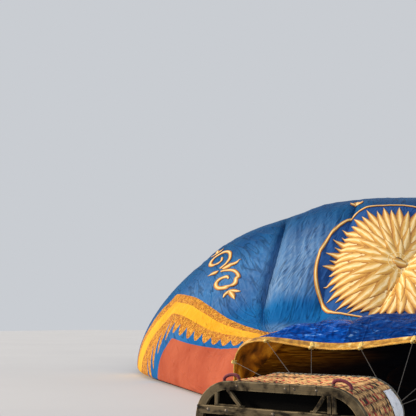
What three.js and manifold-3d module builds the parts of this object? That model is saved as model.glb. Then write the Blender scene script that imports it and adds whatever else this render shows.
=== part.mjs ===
// Hot air balloon as it lies during cold inflation. The basket is on its side, the envelope is half full.
// Millimetres, +Z up, +Y runs along the balloon from the basket's underside to the crown.
import * as THREE from "three";
import { mergeVertices } from "three/addons/utils/BufferGeometryUtils.js";
import Module from "manifold-3d";

// Gaps and frame
const SEAT_GAP = 0.3;
const CENTRE_SHIFT_X = 3626;
const CENTRE_SHIFT_Y = -12970;

// Basket: width along X, height of the lying side along Z, length of the walls along Y
const BASKET_HALF_WIDTH = 780;
const BASKET_SIDE = 1120;
const BASKET_CORNER = 330;
const SKID_DEPTH = 50;
const SKID_PROUD = 12;
const SKID_HEIGHT = 70;
const SKID_FROM_EDGE = 212;
const SKID_FROM_END = 25;
const HOOP_DEPTH = 60;
const HOOP_BAND = 75;
const WALL_INSET = 14;
const WALL_THICKNESS = 24;
const WALL_LENGTH = 1050;
const RIM_RADIUS = 24;
const FLOOR_RECESS = 30;
const FLOOR_THICKNESS = 20;
const POST_HALF = 14;
const BRACE_DEPTH = 40;
const CORNER_STEPS = 8;

// Burner frame and burner
const FRAME_Y = 2150;
const FRAME_CENTRE_X = -90;
const FRAME_CENTRE_Z = 430;
const FRAME_HALF_WIDTH = 500;
const FRAME_HALF_HEIGHT = 280;
const FRAME_CORNER = 70;
const FRAME_TUBE = 16;
const UPRIGHT_RADIUS = 22;
const UPRIGHT_BOW = 25;
const GIMBAL_HALF_WIDTH = 380;
const GIMBAL_HALF_HEIGHT = 200;
const GIMBAL_TUBE = 11;
const PIN_RADIUS = 10;
const PIN_CLEARANCE = 1;
const BOSS_WALL = 8;
const BURNER_SPACING = 270;
const COIL_RADIUS = 118;
const COIL_LENGTH = 330;
const COIL_TURNS = 5;
const COIL_WALL = 14;
const COIL_SWELL = 6;
const BURNER_BASE_DEPTH = 110;
const BURNER_BASE_HALF_WIDTH = 225;
const BURNER_BASE_HALF_HEIGHT = 95;
const LEVER_LENGTH = 150;
const LEVER_RADIUS = 9;
const LEVER_DROP = 30;

// Karabiners and flying wires
const KARABINER_LENGTH = 110;
const KARABINER_HALF_WIDTH = 30;
const KARABINER_BAR = 6;
const WIRE_RADIUS = 4;
const FERRULE_RADIUS = 14;

// Fuel cylinders
const CYLINDER_RADIUS = 165;
const CYLINDER_LENGTH = 760;
const CYLINDER_SHOULDER = 90;
const CYLINDER_COLLAR = 75;
const CYLINDER_COLLAR_HEIGHT = 90;
const CYLINDER_WALL_GAP = 0.9;

// Rope handles
const HANDLE_SPAN = 150;
const HANDLE_RISE = 30;
const HANDLE_ROPE = 11;
const HANDLE_Y = 170;

// Banner on the basket's end
const BANNER_FROM = 800;
const BANNER_TO = 1080;
const BANNER_DROP = 120;
const BANNER_THICKNESS = 4;

// Envelope
const MOUTH_Y = 4400;
const SHELL = 10;
const HEM = 130;
const GORES = 16;
const PANELS = 8;
const PANEL_COLUMNS = 8;
const PANEL_ROWS = 25;
const SECTION_STEPS = 180;
const CROWN_TUBE = 20;
const VALVE_BACK = 0.5;
const VALVE_GAP = 1.2;
const VALVE_DOME = 120;
const SIDE_HEIGHT = 0.06;
const FLATNESS = 5;
const CROWN_BLEND_FROM = 17000;

// Stations of the envelope. along: distance beyond the mouth. half: half width. low and high: lowest and
// highest point. middle: centre in X. square: how boxy the upper outline is, 2 being an ellipse.
// turn: how far the gores are twisted round the section, as a share of its length.
// wave: how far the upper outline rises and sags along the mouth.
const STATIONS = [
  { along: 0, half: 2600, low: 0, high: 1300, middle: -150, square: 8, turn: 0.061, wave: 80 },
  { along: 900, half: 2900, low: 0, high: 1780, middle: -290, square: 2.4, turn: 0.058, wave: 20 },
  { along: 2400, half: 3800, low: 0, high: 1600, middle: -820, square: 2.4, turn: 0.05, wave: 0 },
  { along: 4200, half: 5500, low: 0, high: 2150, middle: -1340, square: 2.2, turn: 0.028, wave: 0 },
  { along: 6000, half: 7200, low: 0, high: 3500, middle: -1910, square: 1.9, turn: -0.002, wave: 0 },
  { along: 8000, half: 8200, low: 0, high: 4950, middle: -2580, square: 1.8, turn: -0.021, wave: 0 },
  { along: 10500, half: 8900, low: 0, high: 5650, middle: -3200, square: 1.8, turn: -0.024, wave: 0 },
  { along: 13500, half: 9250, low: 0, high: 6100, middle: -3700, square: 1.8, turn: -0.024, wave: 0 },
  { along: 16500, half: 8500, low: 0, high: 5850, middle: -4060, square: 1.8, turn: -0.024, wave: 0 },
  { along: 19000, half: 6500, low: 120, high: 4950, middle: -4270, square: 1.9, turn: -0.024, wave: 0 },
  { along: 20700, half: 4250, low: 600, high: 3950, middle: -4350, square: 2, turn: -0.024, wave: 0 },
  { along: 21500, half: 2150, low: 1100, high: 3050, middle: -4390, square: 2, turn: -0.024, wave: 0 },
];
const WAVE_LOWEST_AT = -0.33;
const WAVE_HALF_LENGTH = 0.62;
const CROWN_ALONG = STATIONS[STATIONS.length - 1].along;

const wasm = await Module();
wasm.setup();

const balloon = new THREE.Group();
balloon.name = "hot_air_balloon";

function material(colour, roughness, metalness) {
  return new THREE.MeshStandardMaterial({ color: colour, roughness, metalness });
}

function addPiece(name, geometry, pieceMaterial) {
  const placed = geometry.clone().translate(CENTRE_SHIFT_X, CENTRE_SHIFT_Y, 0);
  const mesh = new THREE.Mesh(placed, pieceMaterial);
  mesh.name = name;
  balloon.add(mesh);
  return mesh;
}

// A closed body from points and triangles, turned so that its faces point outwards.
function closedBody(points, triangles) {
  let volume = 0;
  const normal = new THREE.Vector3();
  for (let i = 0; i < triangles.length; i += 3) {
    const [a, b, c] = [0, 1, 2].map((k) => points[triangles[i + k]]);
    volume += a.dot(normal.crossVectors(b, c));
  }
  if (volume < 0) triangles.reverse();
  const geometry = new THREE.BufferGeometry();
  geometry.setAttribute(
    "position",
    new THREE.Float32BufferAttribute(points.flatMap((p) => [p.x, p.y, p.z]), 3),
  );
  geometry.setIndex(triangles);
  return geometry;
}

// A tube wall from rings of points, each ring closed; the last ring meets the first again.
function closedSweep(rings) {
  const sides = rings[0].length;
  const triangles = [];
  rings.forEach((ring, i) => {
    const next = (i + 1) % rings.length;
    ring.forEach((point, j) => {
      const side = (j + 1) % sides;
      const [a, b, c, d] = [i * sides + j, next * sides + j, next * sides + side, i * sides + side];
      triangles.push(a, b, c, a, c, d);
    });
  });
  return closedBody(rings.flat(), triangles);
}

// A solid rod from rings of points, with a flat cap on the first and last ring.
function rod(rings) {
  const sides = rings[0].length;
  const points = rings.flat();
  const triangles = [];
  for (let i = 0; i + 1 < rings.length; i++) {
    for (let j = 0; j < sides; j++) {
      const side = (j + 1) % sides;
      const [a, b, c, d] = [i * sides + j, (i + 1) * sides + j, (i + 1) * sides + side, i * sides + side];
      triangles.push(a, b, c, a, c, d);
    }
  }
  const last = (rings.length - 1) * sides;
  for (let j = 1; j + 1 < sides; j++) {
    triangles.push(0, j, j + 1, last, last + j + 1, last + j);
  }
  return closedBody(points, triangles);
}

// A curved sheet between two grids of points, closed along its four edges.
function sheetBody(outer, inner) {
  const rows = outer.length;
  const columns = outer[0].length;
  const half = rows * columns;
  const at = (side, i, j) => side * half + i * columns + j;
  const triangles = [];
  const quad = (a, b, c, d) => triangles.push(a, b, c, a, c, d);
  for (let i = 0; i + 1 < rows; i++) {
    for (let j = 0; j + 1 < columns; j++) {
      quad(at(0, i, j), at(0, i, j + 1), at(0, i + 1, j + 1), at(0, i + 1, j));
      quad(at(1, i, j), at(1, i + 1, j), at(1, i + 1, j + 1), at(1, i, j + 1));
    }
    quad(at(0, i, 0), at(0, i + 1, 0), at(1, i + 1, 0), at(1, i, 0));
    quad(at(0, i, columns - 1), at(1, i, columns - 1), at(1, i + 1, columns - 1), at(0, i + 1, columns - 1));
  }
  for (let j = 0; j + 1 < columns; j++) {
    quad(at(0, 0, j), at(1, 0, j), at(1, 0, j + 1), at(0, 0, j + 1));
    quad(at(0, rows - 1, j), at(0, rows - 1, j + 1), at(1, rows - 1, j + 1), at(1, rows - 1, j));
  }
  return closedBody([...outer.flat(), ...inner.flat()], triangles);
}

function manifoldOf(geometry) {
  const bare = geometry.clone();
  bare.deleteAttribute("normal");
  bare.deleteAttribute("uv");
  const merged = mergeVertices(bare, 1e-3);
  return new wasm.Manifold(
    new wasm.Mesh({
      numProp: 3,
      vertProperties: merged.attributes.position.array,
      triVerts: new Uint32Array(merged.index.array),
    }),
  );
}

function geometryOf(solid) {
  const mesh = solid.getMesh();
  const geometry = new THREE.BufferGeometry();
  geometry.setAttribute("position", new THREE.BufferAttribute(new Float32Array(mesh.vertProperties), 3));
  geometry.setIndex(new THREE.BufferAttribute(new Uint32Array(mesh.triVerts), 1));
  return geometry;
}

function joined(geometries) {
  return geometryOf(geometries.map(manifoldOf).reduce((all, next) => all.add(next)));
}

function boxBetween(low, high) {
  const size = high.map((value, k) => value - low[k]);
  return new THREE.BoxGeometry(...size).translate(...low.map((value, k) => value + size[k] / 2));
}

// A round bar between two points.
function bar(from, to, radius, sides = 12) {
  const start = new THREE.Vector3(...from);
  const end = new THREE.Vector3(...to);
  const along = end.clone().sub(start);
  const turn = new THREE.Quaternion().setFromUnitVectors(new THREE.Vector3(0, 1, 0), along.clone().normalize());
  return new THREE.CylinderGeometry(radius, radius, along.length(), sides)
    .applyQuaternion(turn)
    .translate(...start.add(end).multiplyScalar(0.5).toArray());
}

// The outline of a rectangle with round corners in the XZ plane, with the outward direction at each point.
function roundedRectangle(centreX, centreZ, halfWidth, halfHeight, radius, steps = CORNER_STEPS) {
  const outline = [];
  const corners = [
    [1, 1, 0],
    [-1, 1, 1],
    [-1, -1, 2],
    [1, -1, 3],
  ];
  for (const [signX, signZ, quarter] of corners) {
    for (let k = 0; k <= steps; k++) {
      const angle = (quarter + k / steps) * (Math.PI / 2);
      const outX = Math.cos(angle);
      const outZ = Math.sin(angle);
      outline.push({
        x: centreX + signX * (halfWidth - radius) + radius * outX,
        z: centreZ + signZ * (halfHeight - radius) + radius * outZ,
        outX,
        outZ,
      });
    }
  }
  return outline;
}

// A ring that follows an outline; its profile is a closed list of [outwards, y].
function ringAlong(outline, profile) {
  return closedSweep(
    outline.map((p) => profile.map(([out, y]) => new THREE.Vector3(p.x + p.outX * out, y, p.z + p.outZ * out))),
  );
}

function roundProfile(radius, y, sides) {
  return Array.from({ length: sides }, (_, k) => {
    const angle = (k / sides) * 2 * Math.PI;
    return [radius * Math.cos(angle), y + radius * Math.sin(angle)];
  });
}

// A plate between two values of y, its outline any closed list of points.
function plate(outline, lowY, highY) {
  const ringAt = (y) => outline.map((p) => new THREE.Vector3(p.x, y, p.z));
  return rod([ringAt(lowY), ringAt(highY)]);
}

const colours = {
  timber: material(0x8f7f62, 0.8, 0),
  darkBoard: material(0x2e2a26, 0.8, 0),
  wicker: material(0xb98a55, 0.85, 0),
  rimLeather: material(0x9a9a98, 0.6, 0),
  rope: material(0x84203a, 0.7, 0),
  banner: material(0xdde1e8, 0.8, 0),
  steel: material(0xb8babd, 0.35, 0.9),
  aluminium: material(0xc9ccd0, 0.4, 0.9),
  cylinder: material(0xa9adb2, 0.35, 0.85),
  cover: material(0x23262b, 0.8, 0),
  blue: material(0x245f9f, 0.6, 0),
  gold: material(0xd9a338, 0.6, 0),
  valve: material(0x1c4f8f, 0.6, 0),
};

const basketCentreZ = BASKET_SIDE / 2;
const hoopFrom = SKID_PROUD;
const hoopTo = hoopFrom + HOOP_DEPTH;
const wallFrom = hoopTo + SEAT_GAP;
const wallTo = wallFrom + WALL_LENGTH;
const rimY = wallTo + SEAT_GAP + RIM_RADIUS;
const wallHalfWidth = BASKET_HALF_WIDTH - WALL_INSET;
const wallHalfSide = basketCentreZ - WALL_INSET;
const wallCorner = BASKET_CORNER - WALL_INSET;

// The skids are let into the hoop, so the hoop is notched around them.
function makeUnderside() {
  const hoopOutline = roundedRectangle(0, basketCentreZ, BASKET_HALF_WIDTH, basketCentreZ, BASKET_CORNER);
  const hoopProfile = [
    [0, hoopFrom],
    [0, hoopTo],
    [-HOOP_BAND, hoopTo],
    [-HOOP_BAND, hoopFrom],
  ];
  let hoop = manifoldOf(ringAlong(hoopOutline, hoopProfile));
  const skidHalf = BASKET_HALF_WIDTH - SKID_FROM_END;
  const skids = [
    { name: "skid_upper", top: BASKET_SIDE - SKID_FROM_EDGE },
    { name: "skid_lower", top: SKID_FROM_EDGE + SKID_HEIGHT },
  ];
  for (const { name, top } of skids) {
    const bottom = top - SKID_HEIGHT;
    addPiece(name, boxBetween([-skidHalf, 0, bottom], [skidHalf, SKID_DEPTH, top]), colours.timber);
    const notch = boxBetween(
      [-skidHalf - SEAT_GAP, -SEAT_GAP, bottom - SEAT_GAP],
      [skidHalf + SEAT_GAP, SKID_DEPTH + SEAT_GAP, top + SEAT_GAP],
    );
    hoop = hoop.subtract(manifoldOf(notch));
  }
  addPiece("timber_hoop", geometryOf(hoop), colours.timber);
}

// Height of the hoop's inner upper edge at a distance from the centre line.
function hoopInside(x) {
  const inner = roundedRectangle(
    0,
    BASKET_SIDE / 2,
    BASKET_HALF_WIDTH - HOOP_BAND,
    BASKET_SIDE / 2 - HOOP_BAND,
    BASKET_CORNER - HOOP_BAND,
  ).slice(0, 2 * (CORNER_STEPS + 1));
  const next = inner.findIndex((point) => point.x < x);
  const [right, left] = [inner[next - 1], inner[next]];
  const share = (x - left.x) / (right.x - left.x);
  return left.z + (right.z - left.z) * share - SEAT_GAP;
}

// Posts and one slanting strut between each skid and the hoop, joined by a rail along the skid.
function makeBraces() {
  const ends = [
    { end: "left", posts: [-568], strutFoot: -330, strutHead: -457, railFrom: -590, railTo: -300 },
    { end: "right", posts: [461, 499], strutFoot: 331, strutHead: 425, railFrom: 300, railTo: 520 },
  ];
  const railBottom = BASKET_SIDE - SKID_FROM_EDGE + SEAT_GAP;
  const railTop = railBottom + 2 * POST_HALF;
  const strip = (foot, head) => [
    { x: foot - POST_HALF, z: railBottom },
    { x: foot + POST_HALF, z: railBottom },
    { x: head + POST_HALF, z: hoopInside(head + POST_HALF) },
    { x: head - POST_HALF, z: hoopInside(head - POST_HALF) },
  ];
  for (const [side, mirrored] of [["upper", false], ["lower", true]]) {
    const flip = (list) => list.map((p) => ({ x: p.x, z: mirrored ? BASKET_SIDE - p.z : p.z }));
    for (const { end, posts, strutFoot, strutHead, railFrom, railTo } of ends) {
      const rail = [
        { x: railFrom, z: railBottom },
        { x: railTo, z: railBottom },
        { x: railTo, z: railTop },
        { x: railFrom, z: railTop },
      ];
      const outlines = [rail, strip(strutFoot, strutHead), ...posts.map((x) => strip(x, x))];
      const solids = outlines.map((list) => plate(flip(list), hoopFrom, hoopFrom + BRACE_DEPTH));
      addPiece(`underside_brace_${side}_${end}`, joined(solids), colours.timber);
    }
  }
}

function makeBasket() {
  const wallOutline = roundedRectangle(0, basketCentreZ, wallHalfWidth, wallHalfSide, wallCorner);
  const wallProfile = [
    [0, wallFrom],
    [0, wallTo],
    [-WALL_THICKNESS, wallTo],
    [-WALL_THICKNESS, wallFrom],
  ];
  addPiece("wicker_walls", ringAlong(wallOutline, wallProfile), colours.wicker);

  const rimOutline = roundedRectangle(
    0,
    basketCentreZ,
    wallHalfWidth - WALL_THICKNESS / 2,
    wallHalfSide - WALL_THICKNESS / 2,
    wallCorner - WALL_THICKNESS / 2,
  );
  addPiece("padded_rim", ringAlong(rimOutline, roundProfile(RIM_RADIUS, rimY, 12)), colours.rimLeather);

  const inset = WALL_THICKNESS + SEAT_GAP;
  const floorOutline = roundedRectangle(
    0,
    basketCentreZ,
    wallHalfWidth - inset,
    wallHalfSide - inset,
    wallCorner - inset,
  );
  const floorFrom = wallFrom + FLOOR_RECESS;
  addPiece("floor_board", plate(floorOutline, floorFrom, floorFrom + FLOOR_THICKNESS), colours.darkBoard);
}

// Cylinders stand on the floor board in the four corners, so they lie along Y here.
function makeCylinders() {
  const standY = wallFrom + FLOOR_RECESS + FLOOR_THICKNESS + SEAT_GAP;
  const profile = [
    [0, 0],
    [CYLINDER_RADIUS - 20, 0],
    [CYLINDER_RADIUS, 25],
    [CYLINDER_RADIUS, CYLINDER_LENGTH - CYLINDER_SHOULDER],
    [CYLINDER_RADIUS * 0.8, CYLINDER_LENGTH - 25],
    [CYLINDER_COLLAR, CYLINDER_LENGTH],
    [CYLINDER_COLLAR, CYLINDER_LENGTH + CYLINDER_COLLAR_HEIGHT],
    [0, CYLINDER_LENGTH + CYLINDER_COLLAR_HEIGHT],
  ].map(([radius, y]) => new THREE.Vector2(radius, y));
  const intoCorner = (wallCorner - WALL_THICKNESS - CYLINDER_RADIUS - CYLINDER_WALL_GAP) * Math.SQRT1_2;
  const offsetX = wallHalfWidth - wallCorner + intoCorner;
  const offsetZ = wallHalfSide - wallCorner + intoCorner;
  const places = [
    { name: "fuel_cylinder_upper_left", x: -1, z: 1 },
    { name: "fuel_cylinder_upper_right", x: 1, z: 1 },
    { name: "fuel_cylinder_lower_left", x: -1, z: -1 },
    { name: "fuel_cylinder_lower_right", x: 1, z: -1 },
  ];
  for (const place of places) {
    const body = new THREE.LatheGeometry(profile, 24);
    body.translate(place.x * offsetX, standY, basketCentreZ + place.z * offsetZ);
    addPiece(place.name, body, colours.cylinder);
  }
}

// A rope handle: two legs and a low arch. foot: how far its legs reach back to the wall from the centre.
function handle(centre, spanAxis, outAxis, foot) {
  const sides = 10;
  const archSteps = 10;
  const bend = HANDLE_SPAN / 2;
  const third = new THREE.Vector3().crossVectors(spanAxis, outAxis);
  const route = [new THREE.Vector2(-bend, -foot)];
  for (let k = 0; k <= archSteps; k++) {
    const angle = Math.PI - (k / archSteps) * Math.PI;
    route.push(new THREE.Vector2(bend * Math.cos(angle), HANDLE_RISE + (bend * Math.sin(angle)) / 2));
  }
  route.push(new THREE.Vector2(bend, -foot));
  const rings = route.map((point, i) => {
    const isFoot = i === 0 || i === route.length - 1;
    const tangent = isFoot
      ? new THREE.Vector2(0, i === 0 ? 1 : -1)
      : route[i + 1].clone().sub(route[i - 1]).normalize();
    return Array.from({ length: sides }, (_, k) => {
      const angle = (k / sides) * 2 * Math.PI;
      const across = HANDLE_ROPE * Math.cos(angle);
      return centre
        .clone()
        .addScaledVector(spanAxis, point.x - tangent.y * across)
        .addScaledVector(outAxis, point.y + tangent.x * across)
        .addScaledVector(third, HANDLE_ROPE * Math.sin(angle));
    });
  });
  return rod(rings);
}

// Each handle stands on the wall at an angle from straight up, round the corners where it has to.
function makeHandles() {
  const alongY = new THREE.Vector3(0, 1, 0);
  const handles = [
    { name: "rope_handle_top_left", tilt: -8, y: HANDLE_Y, lengthways: false, foot: 5.8 },
    { name: "rope_handle_top_right", tilt: 13, y: HANDLE_Y, lengthways: false, foot: 7.1 },
    { name: "rope_handle_end_left", tilt: -90, y: HANDLE_Y + 90, lengthways: true, foot: 0 },
    { name: "rope_handle_end_right", tilt: 90, y: HANDLE_Y + 90, lengthways: true, foot: 0 },
  ];
  for (const { name, tilt, y, lengthways, foot } of handles) {
    const angle = THREE.MathUtils.degToRad(tilt);
    const out = new THREE.Vector3(Math.sin(angle), 0, Math.cos(angle));
    const round = new THREE.Vector3(Math.cos(angle), 0, -Math.sin(angle));
    const corner = new THREE.Vector3(
      Math.sign(tilt) * (wallHalfWidth - wallCorner),
      y,
      basketCentreZ + wallHalfSide - wallCorner,
    );
    if (lengthways) corner.z = basketCentreZ + HANDLE_SPAN / 4;
    const centre = corner.addScaledVector(out, wallCorner + SEAT_GAP);
    addPiece(name, handle(centre, lengthways ? alongY : round, out, foot), colours.rope);
  }
}

// The blank banner lies on the wall from half way round the upper right corner down the right end.
function makeBanner() {
  const outline = roundedRectangle(0, basketCentreZ, wallHalfWidth, wallHalfSide, wallCorner);
  const corner = outline.slice(0, CORNER_STEPS / 2 + 1);
  const path = [{ x: wallHalfWidth, z: basketCentreZ - BANNER_DROP, outX: 1, outZ: 0 }, ...corner];
  const grid = (out) =>
    [BANNER_FROM, (BANNER_FROM + BANNER_TO) / 2, BANNER_TO].map((y) =>
      path.map((p) => new THREE.Vector3(p.x + p.outX * out, y, p.z + p.outZ * out)),
    );
  addPiece("blank_banner", sheetBody(grid(SEAT_GAP + BANNER_THICKNESS), grid(SEAT_GAP)), colours.banner);
}

// Corners of the burner frame, named as seen from the underside.
const frameCorners = [
  { name: "upper_left", x: -1, z: 1 },
  { name: "upper_right", x: 1, z: 1 },
  { name: "lower_left", x: -1, z: -1 },
  { name: "lower_right", x: 1, z: -1 },
];

function cornerOfFrame(corner, inset) {
  const diagonal = FRAME_CORNER * (1 - Math.SQRT1_2);
  return {
    x: FRAME_CENTRE_X + corner.x * (FRAME_HALF_WIDTH - diagonal - inset),
    z: FRAME_CENTRE_Z + corner.z * (FRAME_HALF_HEIGHT - diagonal - inset),
  };
}

function makeUprights() {
  const fromY = rimY + RIM_RADIUS + SEAT_GAP;
  const toY = FRAME_Y - FRAME_TUBE - SEAT_GAP;
  const sides = 14;
  const diagonal = (wallCorner - WALL_THICKNESS / 2) * (1 - Math.SQRT1_2);
  for (const corner of frameCorners) {
    const foot = {
      x: corner.x * (wallHalfWidth - WALL_THICKNESS / 2 - diagonal),
      z: basketCentreZ + corner.z * (wallHalfSide - WALL_THICKNESS / 2 - diagonal),
    };
    const head = cornerOfFrame(corner, 0);
    const rings = [];
    for (let i = 0; i <= 4; i++) {
      const share = i / 4;
      const bow = Math.sin(share * Math.PI) * UPRIGHT_BOW;
      const radius = UPRIGHT_RADIUS * (1 - 0.25 * share);
      rings.push(
        Array.from({ length: sides }, (_, k) => {
          const angle = (k / sides) * 2 * Math.PI;
          return new THREE.Vector3(
            foot.x + (head.x - foot.x) * share + corner.x * bow + radius * Math.cos(angle),
            fromY + (toY - fromY) * share,
            foot.z + (head.z - foot.z) * share + corner.z * bow + radius * Math.sin(angle),
          );
        }),
      );
    }
    addPiece(`upright_${corner.name}`, rod(rings), colours.cover);
  }
}

// Brackets reach from the frame's sides to the gimbal's pivot pins.
function makeBurnerFrame() {
  const outline = roundedRectangle(
    FRAME_CENTRE_X,
    FRAME_CENTRE_Z,
    FRAME_HALF_WIDTH,
    FRAME_HALF_HEIGHT,
    FRAME_CORNER,
    4,
  );
  const parts = [ringAlong(outline, roundProfile(FRAME_TUBE, FRAME_Y, 12))];
  for (const side of [-1, 1]) {
    const from = FRAME_CENTRE_X + side * (FRAME_HALF_WIDTH - 5);
    const to = FRAME_CENTRE_X + side * (GIMBAL_HALF_WIDTH + GIMBAL_TUBE + 12);
    parts.push(bar([from, FRAME_Y, FRAME_CENTRE_Z], [to, FRAME_Y, FRAME_CENTRE_Z], PIN_RADIUS + BOSS_WALL, 16));
  }
  const bores = [-1, 1].map((side) => {
    const from = FRAME_CENTRE_X + side * (GIMBAL_HALF_WIDTH + 10);
    const to = FRAME_CENTRE_X + side * (GIMBAL_HALF_WIDTH + 60);
    return bar([from, FRAME_Y, FRAME_CENTRE_Z], [to, FRAME_Y, FRAME_CENTRE_Z], PIN_RADIUS + PIN_CLEARANCE, 16);
  });
  let body = parts.map(manifoldOf).reduce((all, next) => all.add(next));
  for (const bore of bores) body = body.subtract(manifoldOf(bore));
  addPiece("burner_frame", geometryOf(body), colours.steel);
}

// The gimbal ring turns in the frame about X and carries the burner on pins along Z.
function makeGimbal() {
  const outline = roundedRectangle(
    FRAME_CENTRE_X,
    FRAME_CENTRE_Z,
    GIMBAL_HALF_WIDTH,
    GIMBAL_HALF_HEIGHT,
    60,
    4,
  );
  const parts = [ringAlong(outline, roundProfile(GIMBAL_TUBE, FRAME_Y, 12))];
  for (const side of [-1, 1]) {
    const from = FRAME_CENTRE_X + side * GIMBAL_HALF_WIDTH;
    const to = FRAME_CENTRE_X + side * (GIMBAL_HALF_WIDTH + 56);
    parts.push(bar([from, FRAME_Y, FRAME_CENTRE_Z], [to, FRAME_Y, FRAME_CENTRE_Z], PIN_RADIUS, 16));
    const low = FRAME_CENTRE_Z + side * (GIMBAL_HALF_HEIGHT + 4);
    const high = FRAME_CENTRE_Z + side * (GIMBAL_HALF_HEIGHT - 26);
    parts.push(bar([FRAME_CENTRE_X, FRAME_Y, low], [FRAME_CENTRE_X, FRAME_Y, high], PIN_RADIUS + BOSS_WALL, 16));
  }
  let body = parts.map(manifoldOf).reduce((all, next) => all.add(next));
  for (const side of [-1, 1]) {
    const low = FRAME_CENTRE_Z + side * (GIMBAL_HALF_HEIGHT - 40);
    const high = FRAME_CENTRE_Z + side * (GIMBAL_HALF_HEIGHT - 4);
    const bore = bar(
      [FRAME_CENTRE_X, FRAME_Y, low],
      [FRAME_CENTRE_X, FRAME_Y, high],
      PIN_RADIUS + PIN_CLEARANCE,
      16,
    );
    body = body.subtract(manifoldOf(bore));
  }
  addPiece("gimbal_ring", geometryOf(body), colours.aluminium);
}

function makeBurner() {
  const baseTo = FRAME_Y + BURNER_BASE_DEPTH / 2;
  const baseFrom = FRAME_Y - BURNER_BASE_DEPTH / 2;
  const block = boxBetween(
    [FRAME_CENTRE_X - BURNER_BASE_HALF_WIDTH, baseFrom, FRAME_CENTRE_Z - BURNER_BASE_HALF_HEIGHT],
    [FRAME_CENTRE_X + BURNER_BASE_HALF_WIDTH, baseTo, FRAME_CENTRE_Z + BURNER_BASE_HALF_HEIGHT],
  );
  const pins = [-1, 1].map((side) =>
    bar(
      [FRAME_CENTRE_X, FRAME_Y, FRAME_CENTRE_Z + side * (BURNER_BASE_HALF_HEIGHT - 5)],
      [FRAME_CENTRE_X, FRAME_Y, FRAME_CENTRE_Z + side * (GIMBAL_HALF_HEIGHT - 8)],
      PIN_RADIUS,
      16,
    ),
  );
  const levers = [-1, 1].map((side) =>
    bar(
      [FRAME_CENTRE_X + (side * BURNER_SPACING) / 2, baseFrom + 10, FRAME_CENTRE_Z - LEVER_DROP],
      [FRAME_CENTRE_X + (side * BURNER_SPACING) / 2, baseFrom - LEVER_LENGTH, FRAME_CENTRE_Z - LEVER_DROP],
      LEVER_RADIUS,
    ),
  );
  addPiece("burner_base", joined([block, ...pins, ...levers]), colours.steel);

  // The wall of each coil swells once per turn, inside and outside.
  const stepsPerTurn = 2;
  const rows = COIL_TURNS * stepsPerTurn;
  const swell = (row) => COIL_SWELL * Math.cos((row / stepsPerTurn) * 2 * Math.PI);
  const outer = Array.from({ length: rows + 1 }, (_, row) => [
    COIL_RADIUS + swell(row),
    (row / rows) * COIL_LENGTH,
  ]);
  const inner = outer.map(([radius, y]) => [2 * COIL_RADIUS - COIL_WALL - radius, y]).reverse();
  const profile = [...outer, ...inner, outer[0]].map(([radius, y]) => new THREE.Vector2(radius, y));
  for (const [name, side] of [["burner_coil_left", -1], ["burner_coil_right", 1]]) {
    const coil = new THREE.LatheGeometry(profile, 20);
    coil.translate(FRAME_CENTRE_X + (side * BURNER_SPACING) / 2, baseTo + SEAT_GAP, FRAME_CENTRE_Z);
    addPiece(name, coil, colours.steel);
  }
}

// Smooth value of one column of the stations at a distance beyond the mouth.
function stationValue(along, column) {
  const last = STATIONS.length - 1;
  let i = 0;
  while (i < last - 1 && along > STATIONS[i + 1].along) i++;
  const slope = (k) => {
    const low = STATIONS[Math.max(k - 1, 0)];
    const high = STATIONS[Math.min(k + 1, last)];
    return (high[column] - low[column]) / (high.along - low.along);
  };
  const [from, to] = [STATIONS[i], STATIONS[i + 1]];
  const span = to.along - from.along;
  const t = (along - from.along) / span;
  return (
    from[column] * (1 + 2 * t) * (1 - t) ** 2 +
    span * slope(i) * t * (1 - t) ** 2 +
    to[column] * t * t * (3 - 2 * t) +
    span * slope(i + 1) * t * t * (t - 1)
  );
}

// The cross-section is widest a little above the floor, round on top and flat below.
function sectionAt(along, angle) {
  const half = stationValue(along, "half");
  const low = Math.max(stationValue(along, "low"), 0);
  const high = stationValue(along, "high");
  const crown = THREE.MathUtils.smoothstep(along, CROWN_BLEND_FROM, CROWN_ALONG);
  const side = low + (high - low) * THREE.MathUtils.lerp(SIDE_HEIGHT, 0.5, crown);
  const across = Math.sin(angle);
  const isUpper = Math.cos(angle) < 0;
  const power = isUpper ? stationValue(along, "square") : THREE.MathUtils.lerp(FLATNESS, 2, crown);
  const reach = Math.max(1 - Math.abs(across) ** power, 0) ** (1 / power);
  const swing = Math.cos((Math.PI * (across - WAVE_LOWEST_AT)) / WAVE_HALF_LENGTH);
  const top = high - stationValue(along, "wave") * swing;
  const z = side + reach * (isUpper ? top - side : low - side);
  return new THREE.Vector3(stationValue(along, "middle") + half * across, MOUTH_Y + along, z);
}

// The angle at a share of the section's own length. Share 0 is the middle of the underside, before the
// station's turn is added.
const shareTables = new Map();
function angleAt(along, share) {
  if (!shareTables.has(along)) {
    const lengths = [0];
    let before = sectionAt(along, 0);
    for (let k = 1; k <= SECTION_STEPS; k++) {
      const point = sectionAt(along, (k / SECTION_STEPS) * 2 * Math.PI);
      lengths.push(lengths[k - 1] + point.distanceTo(before));
      before = point;
    }
    shareTables.set(along, lengths);
  }
  const lengths = shareTables.get(along);
  const turned = share + stationValue(along, "turn");
  const whole = turned - Math.floor(turned);
  const wanted = whole * lengths[SECTION_STEPS];
  let k = 1;
  while (k < SECTION_STEPS && lengths[k] < wanted) k++;
  const part = (wanted - lengths[k - 1]) / (lengths[k] - lengths[k - 1]);
  return ((k - 1 + part) / SECTION_STEPS) * 2 * Math.PI;
}

function surfacePoint(along, share) {
  return sectionAt(along, angleAt(along, share));
}

// The direction out of the envelope at a point, from its neighbours.
function outwards(along, share) {
  const step = 0.004;
  const reach = 60;
  const before = Math.max(along - reach, 0);
  const after = Math.min(along + reach, CROWN_ALONG);
  const round = surfacePoint(along, share + step).sub(surfacePoint(along, share - step));
  const lengthways = surfacePoint(after, share).sub(surfacePoint(before, share));
  const out = round.cross(lengthways).negate();
  // The two open edges are cut square to Y.
  if (along === 0 || along === CROWN_ALONG) out.y = 0;
  return out.normalize();
}

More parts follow.
